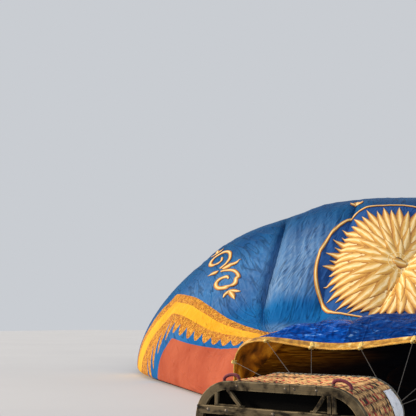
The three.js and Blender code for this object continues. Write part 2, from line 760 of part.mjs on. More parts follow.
function shellGrids(alongs, shares) {
  const outer = alongs.map((along) => shares.map((share) => surfacePoint(along, share)));
  const inner = outer.map((row, i) =>
    row.map((point, j) => point.clone().addScaledVector(outwards(alongs[i], shares[j]), -SHELL)),
  );
  return [outer, inner];
}

// Rows lie closer together towards the mouth and the crown.
const goreRows = Array.from({ length: PANEL_ROWS + 1 }, (_, i) => {
  const share = i / PANEL_ROWS;
  const from = HEM + SEAT_GAP;
  return from + (CROWN_ALONG - from) * (share - 0.06 * Math.sin(2 * Math.PI * share));
});

function makeGores() {
  for (let panel = 0; panel < PANELS; panel++) {
    const start = (2 * panel + 0.5) / GORES;
    const width = 2 / GORES;
    const grid = shellGrids(
      goreRows,
      Array.from({ length: PANEL_COLUMNS + 1 }, (_, j) => start + (width * j) / PANEL_COLUMNS),
    );
    // Each long edge steps back from the seam by half the gap.
    for (const rows of grid) {
      for (const row of rows) {
        const last = row.length - 1;
        const moveIn = (point, towards) =>
          point.addScaledVector(towards.clone().sub(point).normalize(), SEAT_GAP / 2);
        moveIn(row[0], row[1]);
        moveIn(row[last], row[last - 1]);
      }
    }
    const name = `gore_pair_${String(panel + 1).padStart(2, "0")}`;
    addPiece(name, sheetBody(...grid), colours.blue);
  }
}

function makeHem() {
  const columns = PANELS * PANEL_COLUMNS;
  const shares = Array.from({ length: columns }, (_, j) => 0.5 / GORES + j / columns);
  const [outer, inner] = shellGrids([0, HEM / 2, HEM], shares);
  const rings = [outer[0], outer[1], outer[2], inner[2], inner[1], inner[0]];
  addPiece("mouth_hem", closedSweep(rings), colours.gold);
}

function makeCrown() {
  const columns = 40;
  const sides = 8;
  const centreY = MOUTH_Y + CROWN_ALONG + SEAT_GAP + CROWN_TUBE;
  const rings = Array.from({ length: columns }, (_, j) => {
    const share = j / columns;
    const point = surfacePoint(CROWN_ALONG, share);
    const round = surfacePoint(CROWN_ALONG, share + 0.01).sub(surfacePoint(CROWN_ALONG, share - 0.01));
    const out = new THREE.Vector3(round.z, 0, -round.x).normalize().negate();
    return Array.from({ length: sides }, (_, k) => {
      const angle = (k / sides) * 2 * Math.PI;
      return new THREE.Vector3(
        point.x + out.x * CROWN_TUBE * Math.cos(angle),
        centreY + CROWN_TUBE * Math.sin(angle),
        point.z + out.z * CROWN_TUBE * Math.cos(angle),
      );
    });
  });
  addPiece("crown_ring", closedSweep(rings), colours.valve);
}

// The parachute valve is a domed disc that lies against the inside of the last row of the gores.
function makeParachuteValve() {
  const columns = PANELS * PANEL_COLUMNS;
  const lastRows = goreRows.slice(-2);
  const shares = Array.from({ length: columns }, (_, j) => 0.5 / GORES + j / columns);
  const inner = shellGrids(lastRows, shares)[1];
  const seat = inner[0].map((point, j) => point.clone().lerp(inner[1][j], VALVE_BACK));
  const middle = new THREE.Vector3();
  seat.forEach((point) => middle.addScaledVector(point, 1 / columns));
  const edge = seat.map((point) => {
    const inwards = middle.clone().sub(point).setY(0).normalize();
    return point.clone().addScaledVector(inwards, VALVE_GAP * 3).add(new THREE.Vector3(0, -VALVE_GAP, 0));
  });
  const ringOf = (share, lift) =>
    edge.map((point) => {
      const spot = middle.clone().lerp(point, share);
      return spot.add(new THREE.Vector3(0, lift + VALVE_DOME * (1 - share * share), 0));
    });
  const radii = [0.08, 0.55, 1];
  const outside = radii.map((share) => ringOf(share, 0));
  const inside = radii.map((share) => ringOf(share, -SHELL)).reverse();
  addPiece("parachute_valve", rod([...outside, ...inside]), colours.valve);
}

function makeRigging() {
  const karabinerFrom = FRAME_Y + FRAME_TUBE + SEAT_GAP;
  for (const corner of frameCorners) {
    const place = cornerOfFrame(corner, 0);
    const outline = roundedRectangle(
      0,
      KARABINER_LENGTH / 2,
      KARABINER_HALF_WIDTH - KARABINER_BAR,
      KARABINER_LENGTH / 2 - KARABINER_BAR,
      KARABINER_HALF_WIDTH - KARABINER_BAR - 2,
      3,
    );
    const link = ringAlong(outline, roundProfile(KARABINER_BAR, 0, 6));
    link.rotateX(-Math.PI / 2).translate(place.x, karabinerFrom, place.z);
    addPiece(`karabiner_${corner.name}`, link, colours.steel);

    const apex = [place.x, karabinerFrom + KARABINER_LENGTH + SEAT_GAP + FERRULE_RADIUS, place.z];
    const ferrule = new THREE.IcosahedronGeometry(FERRULE_RADIUS, 1).translate(...apex);
    const wires = [];
    for (let i = 0; i < GORES / 4; i++) {
      const quarter = corner.z < 0 ? (corner.x > 0 ? 0 : 3) : corner.x > 0 ? 1 : 2;
      const share = (quarter * (GORES / 4) + i + 0.5) / GORES;
      const end = surfacePoint(0, share).addScaledVector(outwards(0, share), -SHELL / 2);
      const direction = end.clone().sub(new THREE.Vector3(...apex));
      const slant = Math.hypot(direction.x, direction.z) / direction.length();
      end.y -= SEAT_GAP + WIRE_RADIUS * slant;
      wires.push(bar(apex, end.toArray(), WIRE_RADIUS, 8));
    }
    addPiece(`flying_wires_${corner.name}`, joined([ferrule, ...wires]), colours.steel);
  }
}

makeUnderside();
makeBraces();
makeBasket();
makeCylinders();
makeHandles();
makeBanner();
makeUprights();
makeBurnerFrame();
makeGimbal();
makeBurner();
makeRigging();
makeHem();
makeGores();
makeCrown();
makeParachuteValve();

export default balloon;
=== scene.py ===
# %% [markdown]
# # A hot air balloon, lying half inflated
# The balloon lies on the ground while a fan fills it with cold air. The basket is on its side, with its
# wooden underside towards the camera. Behind it the mouth of the envelope is held open by steel wires.
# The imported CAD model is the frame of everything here: it holds the sizes, the joints and the collision
# shapes. This script adds what the eye needs: sewn cloth with its folds, woven willow, worn timber and rope.

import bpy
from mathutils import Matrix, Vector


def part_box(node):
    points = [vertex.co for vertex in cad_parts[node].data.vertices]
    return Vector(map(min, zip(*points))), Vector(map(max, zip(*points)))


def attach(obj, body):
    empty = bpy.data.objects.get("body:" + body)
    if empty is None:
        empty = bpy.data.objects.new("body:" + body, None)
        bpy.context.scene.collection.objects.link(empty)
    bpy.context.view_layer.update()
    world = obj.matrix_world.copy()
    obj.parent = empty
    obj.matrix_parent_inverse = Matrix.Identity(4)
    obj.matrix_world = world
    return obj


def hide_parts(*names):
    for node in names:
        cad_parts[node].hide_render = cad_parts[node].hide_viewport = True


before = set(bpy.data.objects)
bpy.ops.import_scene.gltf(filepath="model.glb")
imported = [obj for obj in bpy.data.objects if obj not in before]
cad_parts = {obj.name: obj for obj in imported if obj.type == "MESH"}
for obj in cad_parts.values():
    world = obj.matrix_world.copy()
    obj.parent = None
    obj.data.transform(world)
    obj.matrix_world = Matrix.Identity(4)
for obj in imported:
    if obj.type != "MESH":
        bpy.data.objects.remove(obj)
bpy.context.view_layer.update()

import bpy
import numpy as np

# %% [markdown]
# The basket and the mouth each have their own centre line. Most sizes below are in metres from the
# basket's centre line in X, from the basket's underside in Y and from the ground in Z.

# %% Places that the pieces share
hoop_low, hoop_high = (np.array(corner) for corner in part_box("timber_hoop"))
BASKET_X = float(hoop_low[0] + hoop_high[0]) / 2
BASKET_Z = float(hoop_low[2] + hoop_high[2]) / 2
UNDERSIDE_Y = float(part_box("skid_upper")[0][1])
MOUTH_Y = float(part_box("mouth_hem")[0][1])
print("basket centre", round(BASKET_X, 3), round(BASKET_Z, 3), "mouth at", round(MOUTH_Y, 3))

# %% [markdown]
# A few helpers come first. Every shape here is a grid of points worked out with numpy, so one function
# lists the faces of a grid and another turns points and faces into an object. A third one sweeps a
# profile along a path, which makes ropes, tubes, rims and bent timber.


# %% Faces of a grid
def grid_faces(rows, columns, round_rows=False, round_columns=False):
    """Quads between neighbouring rows and columns, as indices into the points taken row by row."""
    i = np.arange(rows if round_rows else rows - 1)[:, None]
    j = np.arange(columns if round_columns else columns - 1)[None, :]
    below, beside = (i + 1) % rows, (j + 1) % columns
    corners = [i * columns + j, i * columns + beside, below * columns + beside, below * columns + j]
    return np.stack(np.broadcast_arrays(*corners), -1).reshape(-1, 4)


print("a grid of 3 by 3 points has", len(grid_faces(3, 3)), "faces")


# %% A mesh object from points and faces
def make_piece(name, points, faces, material, body="balloon", stands_for=(), uv=None):
    """Build a mesh at the origin, give it its material and let it ride on a body of the frame."""
    mesh = bpy.data.meshes.new(name)
    mesh.from_pydata(
        np.asarray(points, float).reshape(-1, 3).tolist(), [], [list(map(int, f)) for f in faces]
    )
    mesh.polygons.foreach_set("use_smooth", [True] * len(mesh.polygons))
    if uv is not None:
        corner_of = np.empty(len(mesh.loops), dtype=np.int32)
        mesh.loops.foreach_get("vertex_index", corner_of)
        layer = mesh.uv_layers.new(name="cloth")
        layer.data.foreach_set("uv", np.asarray(uv, float).reshape(-1, 2)[corner_of].ravel())
    mesh.materials.append(material)
    mesh.validate()
    mesh.update()
    made = bpy.data.objects.new(name, mesh)
    bpy.context.collection.objects.link(made)
    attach(made, body)
    if stands_for:
        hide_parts(*stands_for)
    return made


def thicken(piece, thickness, side, inner_material=0):
    """Give a sheet its thickness. Side -1 adds it behind the surface, 0 on both sides and 1 in front."""
    wall = piece.modifiers.new("thickness", "SOLIDIFY")
    wall.thickness, wall.offset, wall.material_offset = thickness, side, inner_material


print("meshes of the CAD model", len(bpy.data.meshes))


# %% Directions and distances
def unit(vectors):
    """The same directions with length 1: each vector divided by the root of the sum of its squares."""
    return vectors / np.linalg.norm(vectors, axis=-1, keepdims=True)


def distances(line):
    """How far each point of a line is from the first one, along the line: the sum of the steps before it."""
    steps = np.linalg.norm(np.diff(np.asarray(line, float), axis=0), axis=1)
    return np.concatenate([[0], np.cumsum(steps)])


def grid_normals(points):
    """Unit normals of a grid that is closed across: its difference along times its difference round."""
    round_way = np.roll(points, -1, 1) - np.roll(points, 1, 1)
    return unit(np.cross(np.gradient(points, axis=0), round_way))


print("3 across and 4 up is the direction", unit(np.array([3.0, 4.0])))


# %% A profile carried along a path
def path_frames(path, up, closed=False):
    """Unit vectors across a path and out of it. Along is the difference of neighbours, across is along times
    up, and out is across times along."""
    ahead = np.roll(path, -1, 0) - np.roll(path, 1, 0)
    if not closed:
        ahead[0], ahead[-1] = path[1] - path[0], path[-1] - path[-2]
    ahead = unit(ahead)
    across = unit(np.cross(ahead, np.broadcast_to(up, ahead.shape)))
    return across, np.cross(across, ahead)


def sweep(path, up, profile, closed=False):
    """Points of a swept body: each path point plus profile[0] across the path and profile[1] out of it.
    The profile is one outline of shape (sides, 2), or one outline for each path point."""
    path = np.asarray(path, float)
    across, out = path_frames(path, up, closed)
    profile = np.broadcast_to(profile, (len(path), *np.shape(profile)[-2:]))
    return path[:, None] + across[:, None] * profile[..., :1] + out[:, None] * profile[..., 1:]


def swept_faces(rows, sides, closed=False):
    """Faces of a swept body: its skin, and a flat cap on each end if the path is open."""
    skin = grid_faces(rows, sides, round_rows=closed, round_columns=True).tolist()
    if closed:
        return skin
    return skin + [list(range(sides))[::-1], list(range((rows - 1) * sides, rows * sides))]


def even_angles(count):
    """Evenly spaced angles of one full turn, the first of them 0."""
    return np.linspace(0, 2 * np.pi, count, endpoint=False)


def circle(radius, sides):
    """A round outline: radius times the cosine and sine of evenly spaced angles."""
    angle = even_angles(sides)
    return radius * np.stack([np.cos(angle), np.sin(angle)], -1)


def pairs(first, second):
    """Every pair of values from two lists, as a grid with one row for each value of the first."""
    return np.stack(np.meshgrid(first, second, indexing="ij"), -1)


def outward(points, faces):
    """The faces, reversed if the closed body's volume comes out negative."""
    flat = np.asarray(points, float).reshape(-1, 3)
    triangles = np.array([(f[0], f[k], f[k + 1]) for f in faces for k in range(1, len(f) - 1)])
    a, b, c = (flat[triangles[:, k]] for k in range(3))
    volume = np.einsum("ij,ij->i", a, np.cross(b, c)).sum()
    return faces if volume > 0 else [list(f)[::-1] for f in faces]


def swept_piece(name, path, up, profile, material, closed=False, **more):
    """A swept body with a UV map: U in metres along the path, and V from 0 to 1 round the profile."""
    points = sweep(path, up, profile, closed)
    faces = outward(points, swept_faces(*points.shape[:2], closed))
    uv = pairs(distances(path), np.linspace(0, 1, points.shape[1]))
    return make_piece(name, points, faces, material, uv=uv, **more)


print("a profile of 8 points, first at", circle(1.0, 8)[0])

# %% [markdown]
# The camera stands where the photograph was taken: 1.6 m above the ground, 5 m from the basket and turned
# 31 degrees to the left of the balloon's axis. Its picture is square, and the focal length of 52 mm on a
# 36 mm sensor gives 600 pixels per unit of slope in a picture 416 pixels wide.

# %% The camera
CAMERA_PLACE = np.array([BASKET_X + 2.16, UNDERSIDE_Y - 4.738, 1.62])
CAMERA_YAW, CAMERA_PITCH = np.radians(30.6), np.radians(10.82)
FOCAL_PIXELS, PICTURE_PIXELS, SENSOR_MM = 600.0, 416, 36.0
VIEW_METRES = 200
camera_data = bpy.data.cameras.new("camera")
camera_data.sensor_width = SENSOR_MM
camera_data.lens = SENSOR_MM * FOCAL_PIXELS / PICTURE_PIXELS
camera_data.clip_end = VIEW_METRES
camera = bpy.data.objects.new("camera", camera_data)
bpy.context.collection.objects.link(camera)
camera.location = CAMERA_PLACE
camera.rotation_euler = (np.pi / 2 + CAMERA_PITCH, 0, CAMERA_YAW)
bpy.context.scene.camera = camera
print("lens", round(camera_data.lens, 2), "mm")


# %% [markdown]
# Colours are written as sRGB hex values, as a designer would read them off a swatch. Blender's shaders
# want linear light, so one function converts them. One more adds a shader node with its settings and its
# links. Many plain finishes follow one noise in colour, gloss and relief, so they share a recipe.


# %% Colour and node helpers
def linear(hex_colour):
    """Each sRGB channel above 0.04045 is ((c + 0.055) / 1.055) to the power 2.4, and below it c / 12.92."""
    c = np.array([int(hex_colour[k : k + 2], 16) for k in (0, 2, 4)]) / 255
    return (*np.where(c > 0.04045, ((c + 0.055) / 1.055) ** 2.4, c / 12.92), 1.0)


def connect(tree, node, links):
    """Fill a node's inputs. links maps an input's name or number to a value, a socket, or a node whose first
    active output is meant."""
    for key, value in links.items():
        if isinstance(value, bpy.types.Node):
            value = next(output for output in value.outputs if output.enabled)
        if isinstance(value, bpy.types.NodeSocket):
            tree.links.new(value, node.inputs[key])
        else:
            node.inputs[key].default_value = value


def add(tree, kind, links=None, stops=None, **settings):
    """Add a shader node with its links and settings. stops are the places and colours of a colour ramp. A Mix
    node mixes colours unless its settings say otherwise."""
    node = tree.nodes.new("ShaderNode" + kind)
    if kind == "Mix":
        node.data_type = "RGBA"
    for key, value in settings.items():
        setattr(node, key, value)
    if stops:
        ramp = node.color_ramp
        while len(ramp.elements) < len(stops):
            ramp.elements.new(1.0)
        for element, (place, colour) in zip(ramp.elements, stops):
            element.position = place
            element.color = linear(colour) if isinstance(colour, str) else (colour, colour, colour, 1)
    connect(tree, node, links or {})
    return node


def new_material(name, surface):
    """A material with one Principled shader whose inputs are set from surface, with its tree and shader."""
    material = bpy.data.materials.new(name)
    material.use_nodes = True
    tree = material.node_tree
    tree.nodes.clear()
    shader = add(tree, "BsdfPrincipled", surface)
    add(tree, "OutputMaterial", {"Surface": shader})
    return material, tree, shader


print("linear value of sRGB grey 808080:", round(float(linear("808080")[0]), 4))


# %% A recipe for plain finishes
def grained(name, surface, noise, colours, bump=None, gloss=None, on_map=False, stretch=None):
    """A material whose colour, relief and gloss follow one noise. noise holds the texture's settings, colours
    the ramp's stops, bump a strength and a height in metres, and gloss what the noise adds to the roughness
    and the least roughness. The noise lies on the UV map if on_map is set, else in the object's metres."""
    material, tree, shader = new_material(name, surface)
    where = add(tree, "UVMap", uv_map="cloth") if on_map else add(tree, "TexCoord").outputs["Object"]
    if stretch:
        where = add(tree, "Mapping", {"Vector": where, "Scale": stretch})
    grain = add(tree, "TexNoise", {"Vector": where, **noise})
    links = {"Base Color": add(tree, "ValToRGB", {"Fac": grain}, stops=colours)}
    if bump:
        links["Normal"] = add(tree, "Bump", {"Height": grain, "Strength": bump[0], "Distance": bump[1]})
    if gloss:
        links["Roughness"] = add(
            tree, "Math", {0: grain, 1: gloss[0], 2: gloss[1]}, operation="MULTIPLY_ADD"
        )
    connect(tree, shader, links)
    return material


# Galvanised steel has a coat of zinc, dipped hot, whose faint spangle shows in patches of about 17 mm.
steel = grained(
    "galvanised steel",
    {"Metallic": 1.0},
    {"Scale": 60.0, "Detail": 3.0},
    [(0.3, "8d8c86"), (0.7, "b4b3ac")],
    gloss=(0.3, 0.25),
)
print("first finish:", steel.name)

# %% [markdown]
# ## The envelope's shape
# A real envelope is sewn from long gores that run from the mouth to the crown. Standing, it is round. Here
# it is half full of cold air, so every cross-section is flat where it lies on the ground and round on top.
# The shape could be a cloth simulation, but 21 metres of cloth with folds where the photograph has them is
# easier to steer with a formula. A short table gives the section at twelve stations beyond the mouth, the
# same stations that the CAD model is built from, and smooth curves join them.

# %% Stations of the envelope
# Metres. along: distance beyond the mouth. half: half width. low and high: lowest and highest point.
# middle: centre in X. square: how boxy the upper outline is, 2 being an ellipse. turn: how far the gores
# are twisted round the section, as a share of its length. wave: how far the upper edge rises and sags.
STATION_COLUMNS = ("along", "half", "low", "high", "middle", "square", "turn", "wave")
STATIONS = np.array(
    [
        (0.0, 2.60, 0.00, 1.30, -0.15, 8.0, 0.061, 0.08),
        (0.9, 2.90, 0.00, 1.78, -0.29, 2.4, 0.058, 0.02),
        (2.4, 3.80, 0.00, 1.60, -0.82, 2.4, 0.050, 0.00),
        (4.2, 5.50, 0.00, 2.15, -1.34, 2.2, 0.028, 0.00),
        (6.0, 7.20, 0.00, 3.50, -1.91, 1.9, -0.002, 0.00),
        (8.0, 8.20, 0.00, 4.95, -2.58, 1.8, -0.021, 0.00),
        (10.5, 8.90, 0.00, 5.65, -3.20, 1.8, -0.024, 0.00),
        (13.5, 9.25, 0.00, 6.10, -3.70, 1.8, -0.024, 0.00),
        (16.5, 8.50, 0.00, 5.85, -4.06, 1.8, -0.024, 0.00),
        (19.0, 6.50, 0.12, 4.95, -4.27, 1.9, -0.024, 0.00),
        (20.7, 4.25, 0.60, 3.95, -4.35, 2.0, -0.024, 0.00),
        (21.5, 2.15, 1.10, 3.05, -4.39, 2.0, -0.024, 0.00),
    ]
)
CROWN_ALONG = STATIONS[-1, 0]
SIDE_HEIGHT, FLATNESS, CROWN_BLEND_FROM = 0.06, 5.0, 17.0
WAVE_LOWEST_AT, WAVE_HALF_LENGTH = -0.33, 0.62
GORES, PANELS = 16, 8


def smooth_step(low, high, value):
    """0 below low, 1 above high, and 3t² - 2t³ between them, t being the way from low to high."""
    t = np.clip((value - low) / (high - low), 0, 1)
    return t * t * (3 - 2 * t)


def station_value(along, column):
    """Cubic Hermite curve through one column of the table; each slope is that between its neighbours."""
    places, values = STATIONS[:, 0], STATIONS[:, STATION_COLUMNS.index(column)]
    before = np.maximum(np.arange(len(places)) - 1, 0)
    after = np.minimum(np.arange(len(places)) + 1, len(places) - 1)
    slopes = (values[after] - values[before]) / (places[after] - places[before])
    i = np.clip(np.searchsorted(places, along) - 1, 0, len(places) - 2)
    span = places[i + 1] - places[i]
    t = (along - places[i]) / span
    return (
        values[i] * (1 + 2 * t) * (1 - t) ** 2
        + span * slopes[i] * t * (1 - t) ** 2
        + values[i + 1] * t * t * (3 - 2 * t)
        + span * slopes[i + 1] * t * t * (t - 1)
    )


def section_point(along, angle):
    """A superellipse: x is middle + half · sin(angle), and z rises from the side's height by
    (1 - |sin(angle)| to a power) to one over that power, upwards to high or downwards to low."""
    low = np.maximum(station_value(along, "low"), 0)
    high = station_value(along, "high")
    crown = smooth_step(CROWN_BLEND_FROM, CROWN_ALONG, along)
    side = low + (high - low) * (SIDE_HEIGHT + (0.5 - SIDE_HEIGHT) * crown)
    across = np.sin(angle)
    upper = np.cos(angle) < 0
    power = np.where(upper, station_value(along, "square"), FLATNESS + (2 - FLATNESS) * crown)
    reach = np.maximum(1 - np.abs(across) ** power, 0) ** (1 / power)
    swing = np.cos(np.pi * (across - WAVE_LOWEST_AT) / WAVE_HALF_LENGTH)
    top = high - station_value(along, "wave") * swing
    z = side + reach * np.where(upper, top - side, low - side)
    x = BASKET_X + station_value(along, "middle") + station_value(along, "half") * across
    return np.stack([x, MOUTH_Y + along + 0 * angle, z], -1)


SECTION_STEPS = 720


def envelope_grid(alongs, shares):
    """Points for each distance beyond the mouth and each share of the way round the section, and the
    section's length at each distance. Share 0 is the middle of the underside."""
    angle = np.linspace(0, 2 * np.pi, SECTION_STEPS + 1)
    sections = section_point(alongs[:, None], angle[None])
    steps = np.linalg.norm(np.diff(sections, axis=1), axis=2)
    lengths = np.concatenate([np.zeros((len(alongs), 1)), np.cumsum(steps, 1)], 1)
    wanted = (shares[None] + station_value(alongs, "turn")[:, None]) % 1 * lengths[:, -1:]
    angles = np.stack([np.interp(w, line, angle) for w, line in zip(wanted, lengths)])
    return section_point(alongs[:, None], angles), lengths[:, -1]


print("envelope", GORES, "gores,", CROWN_ALONG, "m from mouth to crown")

# %% [markdown]
# The cloth is one fine grid over the whole envelope, which is cut into the eight sewn panels afterwards, so
# that neighbours share every point of their seam. Rows are close together in the first nine metres. The
# gores on top get the most columns, because their folds show, and those on the ground get the fewest.

# %% Rows and columns of the cloth
CLOTH_START, FLOOR_GAP = 0.10, 0.001
FINE_UNTIL, FINE_STEP, COARSE_STEP = 9.0, 0.06, 0.14
COLUMNS_OF_GORE = [12, 12, 16, 34, 40, 44, 50, 56, 56, 56, 56, 34, 16, 12, 12, 12]

fine_rows = int((FINE_UNTIL - CLOTH_START) / FINE_STEP)
coarse_rows = int((CROWN_ALONG - FINE_UNTIL) / COARSE_STEP)
rows = np.concatenate(
    [np.linspace(CLOTH_START, FINE_UNTIL, fine_rows, endpoint=False),
     np.linspace(FINE_UNTIL, CROWN_ALONG, coarse_rows)]
)
seam_column = np.concatenate([[0], np.cumsum(COLUMNS_OF_GORE)])
columns = np.concatenate(
    [(gore + 0.5 + np.arange(count) / count) / GORES for gore, count in enumerate(COLUMNS_OF_GORE)]
)
smooth_cloth, girth = envelope_grid(rows, columns)
print("cloth grid", smooth_cloth.shape[:2], "girth up to", round(float(girth.max()), 1), "m")

# %% [markdown]
# ## Folds in the cloth
# A half-full envelope shows what its load tapes do. Webbing runs along each seam and is tighter than the
# cloth, so the gores billow between the tapes and pucker beside them. Where the cloth has slack it gathers
# into long ridges. Each kind of fold is a small formula that moves the cloth in or out along its normal.


# %% A repeatable noise
def cloth_noise(x, y, seed):
    """Value noise: random numbers on a square lattice, blended with 3t² - 2t³ between lattice points."""
    table = np.random.default_rng(seed).random((64, 64))
    x0, y0 = np.floor(x).astype(int), np.floor(y).astype(int)
    tx, ty = smooth_step(0, 1, x - x0), smooth_step(0, 1, y - y0)
    near = table[x0 % 64, y0 % 64] * (1 - tx) + table[(x0 + 1) % 64, y0 % 64] * tx
    far = table[x0 % 64, (y0 + 1) % 64] * (1 - tx) + table[(x0 + 1) % 64, (y0 + 1) % 64] * tx
    return (near * (1 - ty) + far * ty) * 2 - 1


print("noise at one place", round(float(cloth_noise(np.array(0.5), np.array(7.3), 3)), 3))

# %% Coordinates on the cloth
share = np.broadcast_to(columns, smooth_cloth.shape[:2])
along = np.broadcast_to(rows[:, None], smooth_cloth.shape[:2])
beside_top = (share - 0.5) * girth[:, None]
in_gore = (share * GORES - 0.5) % 1
from_tape = np.minimum(in_gore, 1 - in_gore) * girth[:, None] / GORES
cloth_out = grid_normals(smooth_cloth)
if cloth_out[len(rows) // 2, seam_column[8], 2] < 0:
    cloth_out = -cloth_out
off_ground = smooth_step(0.12, 0.9, smooth_cloth[..., 2]) * smooth_step(-0.3, 0.25, cloth_out[..., 2])
free_cloth = smooth_step(0.1, 1.2, along) * smooth_step(CROWN_ALONG, 19.5, along) * off_ground
print("cloth that can fold:", round(float((free_cloth > 0.5).mean()), 2), "of the grid")

# %% Billows between the tapes, and puckers beside them
LEAST_BILLOW, FRONT_BILLOW, CROWN_BILLOW = 0.025, 0.17, 0.09
PUCKER_SPACING, PUCKER_DEPTH, PUCKER_REACH = 0.19, 0.011, 0.2
WIDE_SWAY, NARROW_SWAY = 0.06, 0.03

front_lobes = (
    FRONT_BILLOW * smooth_step(0.60, 0.585, share) * smooth_step(0.24, 0.34, share)
    * smooth_step(8.6, 6.4, along)
)
billow_depth = np.maximum(LEAST_BILLOW + front_lobes, CROWN_BILLOW * smooth_step(9.5, 13.0, along))
billow = billow_depth * smooth_step(2.2, 5.0, along) * (1 - np.abs(2 * in_gore - 1) ** 2.6 - 0.72)
pucker_wave = np.sin(2 * np.pi * (along / PUCKER_SPACING + 0.7 * cloth_noise(share * 97, along * 2.1, 3)))
pucker = (
    PUCKER_DEPTH * pucker_wave * np.exp(-((from_tape / PUCKER_REACH) ** 2))
    * smooth_step(0.02, 0.08, from_tape)
)
sway = WIDE_SWAY * cloth_noise(beside_top / 1.9, along / 2.3, 5)
sway = sway + NARROW_SWAY * cloth_noise(beside_top / 0.8, along / 1.3, 6)
folds = (billow + sway) * free_cloth + pucker * free_cloth * smooth_step(1.5, 3.5, along)
print("billows from", round(float(billow.min()), 3), "to", round(float(billow.max()), 3), "m")

# %% [markdown]
# Groups of wrinkles come from a short table. Each row gives where the group lies, how far it reaches, how
# its ridges lean, how far apart and how deep they are. A ridge is 1 - |sin| of its phase, which has a sharp
# crest as creased nylon has, and noise bends the phase so that no two ridges are alike.

# %% Groups of wrinkles
# share and along: centre. wide and long: reach, as a share and in metres. lean: metres sideways for each
# metre along. spacing and depth in metres.
WRINKLE_COLUMNS = ("share", "along", "wide", "long", "lean", "spacing", "depth")
WRINKLES = [
    (0.561, 6.5, 0.032, 2.2, 0.10, 0.42, 0.055),
    (0.563, 6.0, 0.030, 2.4, 0.16, 0.23, 0.034),
    (0.515, 5.6, 0.035, 2.2, 0.02, 0.28, 0.020),
    (0.460, 5.6, 0.045, 2.4, -0.05, 0.30, 0.020),
    (0.614, 6.6, 0.022, 1.9, 0.80, 0.42, 0.115),
    (0.628, 6.0, 0.026, 1.6, 1.00, 0.34, 0.065),
    (0.650, 4.6, 0.040, 1.6, 0.60, 0.60, 0.035),
    (0.400, 6.5, 0.060, 3.0, 0.25, 0.35, 0.025),
    (0.330, 5.0, 0.060, 3.0, 0.60, 0.45, 0.035),
    (0.500, 12.5, 0.200, 4.0, 0.15, 0.50, 0.022),
    (0.690, 9.5, 0.060, 3.0, -0.40, 0.45, 0.030),
    (0.500, 18.5, 0.250, 2.5, 0.00, 0.42, 0.030),
]


def ridges(phase, sharpness):
    """1 - |sin(π · phase)| to a power: one sharp crest for each whole number of the phase."""
    return (1 - np.abs(np.sin(np.pi * phase))) ** sharpness


for number, values in enumerate(WRINKLES):
    group = dict(zip(WRINKLE_COLUMNS, values))
    aside = (share - group["share"]) * girth[:, None]
    ahead = along - group["along"]
    bend = 0.55 * cloth_noise(aside / 0.9, ahead / 1.1, 20 + number)
    phase = (aside - group["lean"] * ahead) / np.hypot(1, group["lean"]) / group["spacing"] + bend
    reach = np.exp(-(((share - group["share"]) / group["wide"]) ** 2) - (ahead / group["long"]) ** 2)
    patchy = 0.55 + 0.45 * cloth_noise(aside / 0.35, ahead / 1.5, 50 + number)
    folds = folds + group["depth"] * reach * patchy * (ridges(phase, 1.8) - 0.30) * free_cloth
print("wrinkle groups", len(WRINKLES), "and folds up to", round(float(folds.max()), 3), "m")

# %% [markdown]
# Some tapes are pulled tight enough to make a deep fold, with a full lobe of cloth standing beside it. The
# deepest one runs up to the crest.

# %% Deep folds along the tapes
# tape: its number, or a place between two of them. near and far: where the fold starts and ends, in metres
# beyond the mouth. depth of the groove and height of the lobe, in metres.
DEEP_FOLDS = [
    {"tape": 9, "near": 3.4, "far": 9.3, "depth": 0.17, "lobe": 0.10},
    {"tape": 8, "near": 6.4, "far": 9.4, "depth": 0.10, "lobe": 0.05},
    {"tape": 7, "near": 8.0, "far": 13.0, "depth": 0.06, "lobe": 0.05},
    {"tape": 6, "near": 5.0, "far": 11.0, "depth": 0.08, "lobe": 0.06},
    {"tape": 7.35, "near": 0.1, "far": 2.0, "depth": 0.10, "lobe": 0.015},
]
FOLD_STARTS_OVER, FOLD_ENDS_OVER = 2.6, 1.7
GROOVE_REACH, LOBE_ASIDE, LOBE_REACH = 0.06, 0.42, 0.26

for fold in DEEP_FOLDS:
    aside = (share - (fold["tape"] + 0.5) / GORES) * girth[:, None]
    length = fold["far"] - fold["near"]
    span = smooth_step(fold["near"], fold["near"] + min(FOLD_STARTS_OVER, length / 2), along)
    span = span * smooth_step(fold["far"], fold["far"] - min(FOLD_ENDS_OVER, length / 2), along)
    groove = -fold["depth"] * np.exp(-np.abs(aside) / GROOVE_REACH)
    lobe = fold["lobe"] * np.exp(-(((aside + LOBE_ASIDE) / LOBE_REACH) ** 2))
    folds = folds + span * (groove + lobe) * free_cloth
print("deep folds", len(DEEP_FOLDS), "down to", round(float(folds.min()), 3), "m")

# %% [markdown]
# Behind the mouth the cloth has slumped into a hollow. Its shoulder is fuller than the table of stations
# says, and the last metre before the hem is crinkled.

# %% The hollow, the shoulder and the crinkles
HOLLOW = {"share": 0.553, "along": 3.75, "wide": 0.036, "long": 0.60, "depth": 0.27}
SHOULDER_FULLER, SHOULDER_ALONG, SHOULDER_REACH = 0.10, 9.0, 2.6
CRINKLE_DEPTH = 0.015

hollow = np.exp(
    -(((share - HOLLOW["share"]) / HOLLOW["wide"]) ** 2) - ((along - HOLLOW["along"]) / HOLLOW["long"]) ** 2
)
folds = folds - HOLLOW["depth"] * hollow

shoulder = (
    smooth_step(0.688, 0.656, share) * smooth_step(0.42, 0.50, share)
    * np.exp(-(((along - SHOULDER_ALONG) / SHOULDER_REACH) ** 2))
)
shoulder = shoulder * (1 - 0.5 * smooth_step(0.600, 0.560, share))
folds = folds + SHOULDER_FULLER * shoulder

